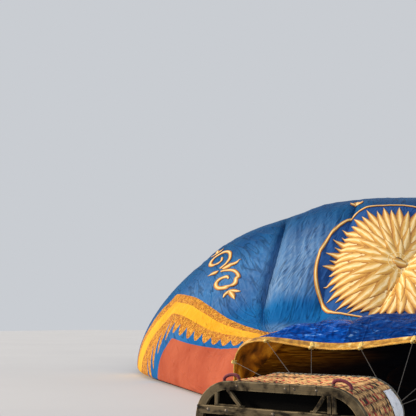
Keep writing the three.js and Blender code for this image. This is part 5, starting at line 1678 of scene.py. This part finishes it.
rim_shares = np.arange(RIM_STEPS) / RIM_STEPS
rim_line, _, rim_length = rim_outline(rim_shares)
swell = 1 + 0.05 * cloth_noise(rim_shares * 90, rim_shares * 7, 45)
laced = np.abs(np.sin(np.pi * rim_shares * LACE_TURNS))
rim_profile = circle(RIM_RADIUS, RIM_SIDES)[None] * (swell * (0.90 + 0.08 * laced**0.5))[:, None, None]
rim_path = basket(rim_line[:, 0], RIM_Y, rim_line[:, 1])
rim_points = sweep(rim_path, (0, 1, 0), rim_profile, closed=True)
rim_uv = pairs(rim_shares * rim_length, np.arange(RIM_SIDES) * 0.0084)
rim_faces = outward(rim_points, swept_faces(RIM_STEPS, RIM_SIDES, True))
rim = make_piece("suede_rim", rim_points, rim_faces, suede, uv=rim_uv, stands_for=["padded_rim"])
print("rim", round(rim_length, 2), "m of padding in", LACE_TURNS, "laced stretches")

# %% Leather lacing round the rim
LACE_RADIUS, LACE_OUT, LACE_BACK = 0.003, 0.0235, 0.036
lace_turn = np.arange(LACE_TURNS * LACE_STEPS) / LACE_STEPS
lace_line, lace_out, _ = rim_outline(lace_turn / LACE_TURNS)
lace_out3 = np.stack([lace_out[:, 0], 0 * lace_turn, lace_out[:, 1]], -1)
swing = np.stack([np.cos(2 * np.pi * lace_turn), np.sin(2 * np.pi * lace_turn)], -1)
lace_path = basket(lace_line[:, 0], RIM_Y - 0.003, lace_line[:, 1]) + LACE_OUT * swing[:, :1] * lace_out3
lace_path[:, 1] += np.where(swing[:, 1] > 0, LACE_OUT, LACE_BACK) * swing[:, 1]
swept_piece("rim_lacing", lace_path, (0, 1, 0.01), circle(LACE_RADIUS, 5), leather_lace, closed=True)
print("lacing turns", LACE_TURNS)

# %% Four rope handles
# Each row: node, tilt from straight up in degrees, distance from the underside, whether it spans lengthways,
# and how much further its legs reach back to the wall.
HANDLE_BEND, HANDLE_RISE, HANDLE_ROPE, ROPE_PITCH = 0.075, 0.020, 0.0155, 0.045
WHIPPING = [(0, -0.006), (0.015, -0.006), (0.0165, 0), (0.015, 0.012), (0, 0.012)]
HANDLES = [
    ("rope_handle_top_left", -8.0, 0.170, False, 0.0058),
    ("rope_handle_top_right", 13.0, 0.170, False, 0.0071),
    ("rope_handle_end_left", -90.0, 0.260, True, 0.0),
    ("rope_handle_end_right", 90.0, 0.260, True, 0.0),
]
for node, tilt, y, lengthways, foot in HANDLES:
    lean = np.radians(tilt)
    away = np.array([np.sin(lean), 0, np.cos(lean)])
    span = np.array([0, 1.0, 0]) if lengthways else np.array([np.cos(lean), 0, -np.sin(lean)])
    corner_z = BASKET_Z + 0.0375 if lengthways else BASKET_Z + WALL_HALF_HEIGHT - WALL_CORNER
    corner_x = np.sign(tilt) * (WALL_HALF_WIDTH - WALL_CORNER)
    start = basket(corner_x, y, corner_z) + away * (WALL_CORNER + 0.0003)
    sweep_angle = np.linspace(np.pi, 0, 60)
    leg = np.linspace(-foot - 0.012, HANDLE_RISE, 14)[:-1]
    out_by = np.concatenate([leg, HANDLE_RISE + HANDLE_BEND / 2 * np.sin(sweep_angle), leg[::-1]])
    aside = np.concatenate(
        [np.full(13, -HANDLE_BEND), HANDLE_BEND * np.cos(sweep_angle), np.full(13, HANDLE_BEND)]
    )
    route = start + aside[:, None] * span + out_by[:, None] * away
    up = np.cross(span, away)
    laid_rope(f"{node}_laid", route, up, HANDLE_ROPE, ROPE_PITCH, maroon_rope, stands_for=[node])
    feet = [start + s * HANDLE_BEND * span for s in (-1, 1)]
    many_turned(f"{node}_whipping", WHIPPING, feet, away, leather_lace, sides=14)
print("handles", len(HANDLES))

# %% Plywood floor, nearly black as painted shade in the recess
# Birch plywood, coloured nearly black as painted shade for the recess. Its grain runs across in bands about
# 10 mm apart.
plywood = grained(
    "plywood darkened as painted shade",
    {"Roughness": 0.9, "Specular IOR Level": 0.08},
    {"Scale": 2.0, "Detail": 5.0},
    [(0.3, "020202"), (0.7, "080706")],
    bump=(0.4, 0.001),
    stretch=(3.0, 3.0, 50.0),
)


def finish_node(name, material):
    """Give a CAD node that stays in view its material."""
    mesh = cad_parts[name].data
    mesh.materials.clear()
    mesh.materials.append(material)


finish_node("floor_board", plywood)
print("floor ready")

# %% [markdown]
# A banner of white vinyl is tied round one end of the basket. It is left blank. The sheet follows the wall
# from below its middle, up and round half of the corner, and it stands off the weave a little between
# its eyelets.

# %% Blank vinyl banner
BANNER_FROM, BANNER_TO, BANNER_LOWEST = 0.800, 1.080, 0.440
BANNER_COLUMNS, BANNER_ROWS, BANNER_OFF, BANNER_PUFF = 70, 36, 0.014, 0.005
corner_height = BASKET_Z + WALL_HALF_HEIGHT - WALL_CORNER
straight = corner_height - BANNER_LOWEST
arc_length = WALL_CORNER * np.pi / 4
banner_way = np.linspace(0, straight + arc_length, BANNER_COLUMNS)
round_angle = np.maximum(banner_way - straight, 0) / WALL_CORNER
banner_x = WALL_HALF_WIDTH - WALL_CORNER + WALL_CORNER * np.cos(round_angle)
banner_z = np.minimum(BANNER_LOWEST + banner_way, corner_height) + WALL_CORNER * np.sin(round_angle)
banner_out = np.stack([np.cos(round_angle), 0 * round_angle, np.sin(round_angle)], -1)
banner_y = np.linspace(BANNER_FROM, BANNER_TO, BANNER_ROWS)
puff = BANNER_OFF + BANNER_PUFF * cloth_noise(banner_way[None] * 9, banner_y[:, None] * 12, 47)
puff = puff + 0.004 * np.sin(banner_way[None] * 21 + banner_y[:, None] * 17)
banner_on_wall = basket(banner_x[None], banner_y[:, None], banner_z[None])
banner_points = banner_on_wall + banner_out[None] * puff[..., None]
banner_uv = pairs(banner_y, banner_way)[..., ::-1]
print("banner", round(float(banner_way[-1]), 2), "by", round(BANNER_TO - BANNER_FROM, 2), "m")

# %% White vinyl
# Banner vinyl is calendered on a scrim of threads 6 mm apart, and scuffed in patches of about 110 mm.
SCRIM_SCALE, VINYL_THICKNESS = np.pi / 0.006 / 10, 0.0015
vinyl, tree, shader = new_material("white banner vinyl", {"Roughness": 0.38, "Specular IOR Level": 0.5})
where = add(tree, "UVMap", uv_map="cloth")
scuffs = add(tree, "TexNoise", {"Vector": where, "Scale": 9.0, "Detail": 7.0, "Roughness": 0.65})
scuffed = add(
    tree, "ValToRGB", {"Fac": scuffs}, stops=[(0.28, "b3b6bc"), (0.42, "dfe2e8"), (0.6, "f0f2f7")]
)
scrim_u = add(tree, "TexWave", {"Vector": where, "Scale": SCRIM_SCALE})
scrim_v = add(tree, "TexWave", {"Vector": where, "Scale": SCRIM_SCALE}, bands_direction="Y")
scrim = add(tree, "Math", {0: scrim_u, 1: scrim_v}, operation="MAXIMUM")
scrim_bump = add(tree, "Bump", {"Height": scrim, "Strength": 0.2, "Distance": 0.0005})
connect(tree, shader, {"Base Color": scuffed, "Normal": scrim_bump})
banner_faces = grid_faces(BANNER_ROWS, BANNER_COLUMNS)
banner = make_piece(
    "vinyl_banner", banner_points, banner_faces, vinyl, uv=banner_uv, stands_for=["blank_banner"]
)
if banner.data.polygons[0].normal[0] < 0:
    banner.data.flip_normals()
thicken(banner, VINYL_THICKNESS, 1.0)
print("vinyl", 1000 * VINYL_THICKNESS, "mm thick")

# %% Eyelets of the banner
eyelet_columns, eyelet_rows = [2, 18, 35, 52, 67], [2, BANNER_ROWS - 3]
EYELET_SIDES, EYELET_LIFT = 14, 0.0012
eyelet_profile = [(0.004, 0.0006), (0.0055, 0.0032), (0.0085, 0.0030), (0.0095, 0.0006)]
lengthways = np.array([0, 1.0, 0])
eyelet_turn = even_angles(EYELET_SIDES)[:, None]
eyelet_grids = []
for row in eyelet_rows:
    for column in eyelet_columns:
        away = banner_out[column]
        spot = banner_points[row, column] + away * EYELET_LIFT
        ring = np.cos(eyelet_turn) * lengthways + np.sin(eyelet_turn) * np.cross(away, lengthways)
        eyelet_grids.append(np.stack([spot + ring * r + away * h for r, h in eyelet_profile]))
one_eyelet = grid_faces(len(eyelet_profile), EYELET_SIDES, round_columns=True)
eyelets = joined("banner_eyelets", eyelet_grids, one_eyelet, steel)
print("eyelets", len(eyelet_grids))

# %% [markdown]
# ## Fuel cylinders, uprights and burner
# Four aluminium cylinders are strapped into the corners of the basket. Nylon rods in padded covers carry
# the burner frame. A gimbal lets the burner tilt, and each burner's coil heats the gas before it burns. The
# lying burner doesn't show in the photograph, so its shape follows the usual type.


# %% Metals
def metal(name, dark_hex, light_hex, scale, rough, spread):
    """A metal whose colour and gloss vary with a noise of 1/scale metres."""
    noise, colours = {"Scale": scale, "Detail": 6.0}, [(0.3, dark_hex), (0.7, light_hex)]
    return grained(name, {"Metallic": 1.0}, noise, colours, bump=(0.15, 0.001), gloss=(spread, rough))


# Rolled sheet has cloudy patches of 40 mm, castings a skin of 11 mm, a coil's steel heat stains of 80 mm,
# wire rope a texture of 3 mm from its strands, and brass tarnish of 33 mm.
rolled_aluminium = metal("rolled aluminium", "8e9092", "b9bbbd", 25.0, 0.2, 0.3)
cast_aluminium = metal("cast aluminium", "7c7d7c", "9c9d9b", 90.0, 0.35, 0.3)
stainless = metal("heat stained stainless steel", "6d5c48", "a5a29c", 12.0, 0.2, 0.35)
wire_steel = metal("stainless wire rope", "4f4a45", "77716a", 300.0, 0.4, 0.2)
brass = metal("brass fittings", "8a6a2a", "b8954a", 30.0, 0.25, 0.3)
print("five metals ready")

# %% Webbing of the cylinders' straps
# Polyester webbing is woven in slanting ribs 4.6 mm apart. The black is a little lighter on top of each rib,
# a painted highlight.
webbing, tree, shader = new_material("black polyester webbing", {"Roughness": 0.75})
object_metres = add(tree, "TexCoord").outputs["Object"]
rib_scale = np.pi / 0.004 / 10
threads = add(tree, "TexWave", {"Vector": object_metres, "Scale": rib_scale}, bands_direction="DIAGONAL")
black = add(tree, "ValToRGB", {"Fac": threads}, stops=[(0.2, "0c0c0d"), (0.8, "232325")])
ribbed = add(tree, "Bump", {"Height": threads, "Strength": 0.5, "Distance": 0.001})
connect(tree, shader, {"Base Color": black, "Normal": ribbed})
print("webbing ready")

# %% Fuel cylinders with straps
# The profile goes from the foot up the wall, over the shoulder, up the collar and down inside it to the
# valve.
CYLINDER_RADIUS, CYLINDER_LENGTH, CYLINDER_Y, CYLINDER_SIDES = 0.165, 0.760, 0.1226, 40
STRAP_HEIGHTS, STRAP_HALF_WIDTH, STRAP_INNER, STRAP_OUTER = (0.22, 0.56), 0.02, 0.1600, 0.1652
CORNERS = [("upper_left", -1, 1), ("upper_right", 1, 1), ("lower_left", -1, -1), ("lower_right", 1, -1)]


def around_y(radius, height, angle):
    """Points round an axis along Y: radius times the cosine in X and the sine in Z, and the height in Y."""
    return np.stack([radius * np.cos(angle), height + 0 * angle, radius * np.sin(angle)], -1)


into_corner = (WALL_CORNER - WALL_THICKNESS - CYLINDER_RADIUS - 0.0009) * np.sqrt(0.5)
cylinder_x = WALL_HALF_WIDTH - WALL_CORNER + into_corner
cylinder_z = WALL_HALF_HEIGHT - WALL_CORNER + into_corner
shoulder = np.linspace(0, np.pi / 2, 8)[1:]
cylinder_profile = [(0, 0), (0.13, 0.0), (0.152, 0.006), (0.1645, 0.03)]
cylinder_profile += [(0.1645, y) for y in (0.2, 0.4, CYLINDER_LENGTH - 0.09)]
cylinder_profile += [
    (0.075 + 0.0895 * np.cos(a), CYLINDER_LENGTH - 0.09 + 0.085 * np.sin(a)) for a in shoulder
]
cylinder_profile += [(0.075, 0.846), (0.072, 0.849), (0.066, 0.846)]
cylinder_profile += [(0.066, 0.765), (0.02, 0.765), (0.02, 0.80), (0, 0.80)]
for name, side_x, side_z in CORNERS:
    base = basket(side_x * cylinder_x, CYLINDER_Y, BASKET_Z + side_z * cylinder_z)
    points, faces = turned(cylinder_profile, base, (0, 1, 0), CYLINDER_SIDES)
    make_piece(
        f"aluminium_cylinder_{name}", points, faces, rolled_aluminium, stands_for=[f"fuel_cylinder_{name}"]
    )
    strap_grids = []
    for y in STRAP_HEIGHTS:
        low, high = y - STRAP_HALF_WIDTH, y + STRAP_HALF_WIDTH
        corners = [(STRAP_INNER, low), (STRAP_OUTER, low), (STRAP_OUTER, high), (STRAP_INNER, high)]
        rings = [around_y(r, h, even_angles(CYLINDER_SIDES)) for r, h in corners]
        strap_grids.append(base + np.stack(rings))
    strap_faces = outward(strap_grids[0], grid_faces(4, CYLINDER_SIDES, True, True).tolist())
    joined(f"cylinder_straps_{name}", strap_grids, strap_faces, webbing)
print("cylinders", len(CORNERS), "diameter", 2000 * CYLINDER_RADIUS, "mm")

# %% Padded upright covers
FRAME_Y, FRAME_X, FRAME_Z = 2.150, -0.090, 0.430
FRAME_HALF_WIDTH, FRAME_HALF_HEIGHT, FRAME_CORNER = 0.500, 0.280, 0.070
COVER_RADIUS, COVER_BOW, COVER_GAP = 0.0215, 0.025, 0.0003

# Padded covers are quilted nylon round foam, with soft folds of about 55 mm.
padded_nylon = grained(
    "padded nylon cover",
    {"Roughness": 0.7, "Sheen Weight": 0.2},
    {"Scale": 18.0, "Detail": 5.0},
    [(0.3, "14243f"), (0.7, "22395c")],
    bump=(0.6, 0.004),
    on_map=True,
)
foot_in = (WALL_CORNER - WALL_THICKNESS / 2) * (1 - np.sqrt(0.5))
foot_x = WALL_HALF_WIDTH - WALL_THICKNESS / 2 - foot_in
foot_z = WALL_HALF_HEIGHT - WALL_THICKNESS / 2 - foot_in
head_in = FRAME_CORNER * (1 - np.sqrt(0.5))
for name, side_x, side_z in CORNERS:
    t = np.linspace(0, 1, 70)
    bow = COVER_BOW * np.sin(np.pi * t)
    head_x = FRAME_X + side_x * (FRAME_HALF_WIDTH - head_in)
    head_z = FRAME_Z + side_z * (FRAME_HALF_HEIGHT - head_in)
    route = basket(
        side_x * foot_x + (head_x - side_x * foot_x) * t + side_x * bow,
        RIM_Y + RIM_RADIUS + COVER_GAP + (FRAME_Y - 0.0163 - RIM_Y - RIM_RADIUS - COVER_GAP) * t,
        BASKET_Z + side_z * foot_z + (head_z - BASKET_Z - side_z * foot_z) * t + side_z * bow,
    )
    fold_rings = 1 + 0.05 * cloth_noise(t * 40, t * 3 + side_x + 2 * side_z, 49)
    thickness = (1 - 0.25 * t) * fold_rings * np.minimum(1, 0.55 + 12 * np.minimum(t, 1 - t))
    cover_profile = circle(COVER_RADIUS, 16)[None] * thickness[:, None, None]
    cover = swept_piece(
        f"padded_cover_{name}",
        route,
        (1, 0, 0.2),
        cover_profile,
        padded_nylon,
        stands_for=[f"upright_{name}"],
    )
print("uprights", len(CORNERS))

# %% Metals of the pieces that CAD drew in full
NODE_METALS = {"burner_frame": stainless, "gimbal_ring": cast_aluminium, "burner_base": cast_aluminium}
for name, _, _ in CORNERS:
    NODE_METALS[f"karabiner_{name}"] = cast_aluminium
    NODE_METALS[f"flying_wires_{name}"] = wire_steel
for node, its_metal in NODE_METALS.items():
    finish_node(node, its_metal)
print("CAD nodes with a metal of their own", len(NODE_METALS))

# %% Burner coils
# A coil is stainless tube 12 mm thick, wound twenty times, with a straight tube down its side to the valve
# block. Ten brass jets stand on a round manifold inside it, and a blast lever's grip hangs below.
COIL_RADIUS, COIL_TUBE, COIL_WINDINGS, COIL_LENGTH, BURNER_SPACING = 0.1115, 0.0062, 20, 0.318, 0.270
TURN_STEPS, PIPE_RADIUS, MANIFOLD_RADIUS, JETS = 26, 0.006, 0.055, 10
JET = [(0, 0), (0.007, 0), (0.007, 0.012), (0.004, 0.02), (0, 0.02)]
GRIP_ENDS = [(0, 0), (0.012, 0.001), (0.0145, 0.01), (0.0125, 0.03), (0.0145, 0.05)]
GRIP = GRIP_ENDS + [(0.0125, 0.07), (0.0135, 0.09), (0.009, 0.098), (0, 0.098)]
UP_BURNER = (0, 1, 0)


turn = np.linspace(0, 2 * np.pi * COIL_WINDINGS, COIL_WINDINGS * TURN_STEPS)
rise = np.linspace(0, 1, len(turn))
ease = 1 + 0.03 * np.cos(2 * np.pi * rise * 5)
winding = around_y(COIL_RADIUS * ease, 0.006 + COIL_LENGTH * rise, turn)
down = np.linspace((COIL_RADIUS - 0.016, COIL_LENGTH, 0), (COIL_RADIUS - 0.016, 0.002, 0), 20)
manifold = around_y(MANIFOLD_RADIUS, 0.004, turn[: TURN_STEPS - 1])
jet_places = around_y(MANIFOLD_RADIUS, 0, even_angles(JETS))
pipe = circle(PIPE_RADIUS, 8)
for name, side in (("left", -1), ("right", 1)):
    centre = basket(FRAME_X + side * BURNER_SPACING / 2, FRAME_Y + 0.0553, FRAME_Z)
    swept_piece(
        f"burner_tube_{name}",
        centre + winding,
        UP_BURNER,
        circle(COIL_TUBE, 8),
        stainless,
        body="burner",
        stands_for=[f"burner_coil_{name}"],
    )
    swept_piece(f"burner_riser_{name}", centre + down, (1, 0, 0), pipe, stainless, body="burner")
    many_turned(f"burner_jets_{name}", JET, centre + jet_places, UP_BURNER, brass, 8, body="burner")
    swept_piece(
        f"burner_manifold_{name}", centre + manifold, UP_BURNER, pipe, stainless, closed=True, body="burner"
    )
    grip = basket(FRAME_X + side * BURNER_SPACING / 2, FRAME_Y - 0.205, FRAME_Z - 0.030)
    points, faces = turned(GRIP, grip, UP_BURNER, 20)
    make_piece(f"blast_grip_{name}", points, faces, webbing, body="burner")
print("coils", 2, "of", COIL_WINDINGS, "windings")

# %% [markdown]
# ## Crown
# At the far end the gores meet a ring, and a round parachute of cloth closes it from inside. Pulled towards
# the mouth, it lets the hot air out. Its cloth has the envelope's blue with a gold edge.

# %% Crown ring
CROWN_TUBE, CROWN_STEPS, CROWN_BEHIND = 0.0195, 160, 0.0203
crown_rows = np.array([CROWN_ALONG - 0.1, CROWN_ALONG])
crown_path = envelope_grid(crown_rows, np.arange(CROWN_STEPS) / CROWN_STEPS)[0][1] + (0, CROWN_BEHIND, 0)
swept_piece(
    "crown_ring_tube",
    crown_path,
    (0, 1, 0),
    circle(CROWN_TUBE, 10),
    rolled_aluminium,
    closed=True,
    stands_for=["crown_ring"],
)
print("crown ring", round(float(distances(crown_path)[-1]), 2), "m round")

# %% Shape of the parachute valve
# The crown's outline, scaled to the CAD valve's box, is drawn in rings from the hub to the edge. The cloth
# rises from the edge to the hub by dome · (1 - reach²), with a shallow wrinkle at each tape.
VALVE_ROWS, VALVE_COLUMNS, VALVE_DOME, VALVE_FOOT, VALVE_WRINKLE = 34, 192, 0.120, 0.012, 0.010
VALVE_SCALE, GOLD_EDGE_FROM = 0.999, 0.86

valve_low, valve_high = (np.array(c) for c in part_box("parachute_valve"))
valve_shares = 0.5 / GORES + np.arange(VALVE_COLUMNS) / VALVE_COLUMNS
outline_there = envelope_grid(np.array([20.9, CROWN_ALONG]), valve_shares)[0][1]
shrink_x = (valve_high[0] - valve_low[0]) / np.ptp(outline_there[:, 0])
shrink_z = (valve_high[2] - valve_low[2]) / np.ptp(outline_there[:, 2])
centred = outline_there - (outline_there.max(0) + outline_there.min(0)) / 2
spokes = np.stack([centred[:, 0] * shrink_x, 0 * centred[:, 0], centred[:, 2] * shrink_z], -1)
reach = np.linspace(0.0, 1.0, VALVE_ROWS)[1:]
wrinkle = VALVE_WRINKLE * np.cos(valve_shares * 2 * np.pi * GORES)[None] * reach[:, None] ** 2
hub = (valve_low + valve_high) / 2 * (1, 0, 1)
valve_points = hub + reach[:, None, None] * spokes[None] * VALVE_SCALE
valve_points[..., 1] = (
    valve_low[1] + VALVE_FOOT + VALVE_DOME * (1 - reach[:, None] ** 2) * 0.98 - np.abs(wrinkle)
)
hub_point = hub + (0, valve_low[1] + VALVE_FOOT + VALVE_DOME * 0.98, 0)
valve_all = np.concatenate([valve_points.reshape(-1, 3), hub_point[None]])
print("parachute valve", np.round(np.ptp(valve_all, axis=0), 2), "m")

# %% Parachute valve
valve_skin = grid_faces(VALVE_ROWS - 1, VALVE_COLUMNS, round_columns=True).tolist()
total = (VALVE_ROWS - 1) * VALVE_COLUMNS
valve_skin += [[(k + 1) % VALVE_COLUMNS, k, total] for k in range(VALVE_COLUMNS)]
valve_uv = valve_all[:, [0, 2]] - hub[[0, 2]]
valve_piece = make_piece(
    "parachute_cloth",
    valve_all,
    valve_skin,
    nylon,
    body="valve",
    uv=valve_uv,
    stands_for=["parachute_valve"],
)
reach_all = np.append(np.repeat(reach, VALVE_COLUMNS), 0.0)
valve_band = np.where(reach_all > GOLD_EDGE_FROM, 0.7, -1.0)
store_vectors(valve_piece, "marks", np.stack([valve_band, 0 * reach_all, 0 * reach_all + 9], -1))
store_vectors(valve_piece, "dust_billow_and_light", np.zeros((len(valve_all), 3)))
if valve_piece.data.polygons[-1].normal[1] < 0:
    valve_piece.data.flip_normals()
valve_piece.data.materials.append(lining)
thicken(valve_piece, CLOTH_THICKNESS, -1.0, 1)
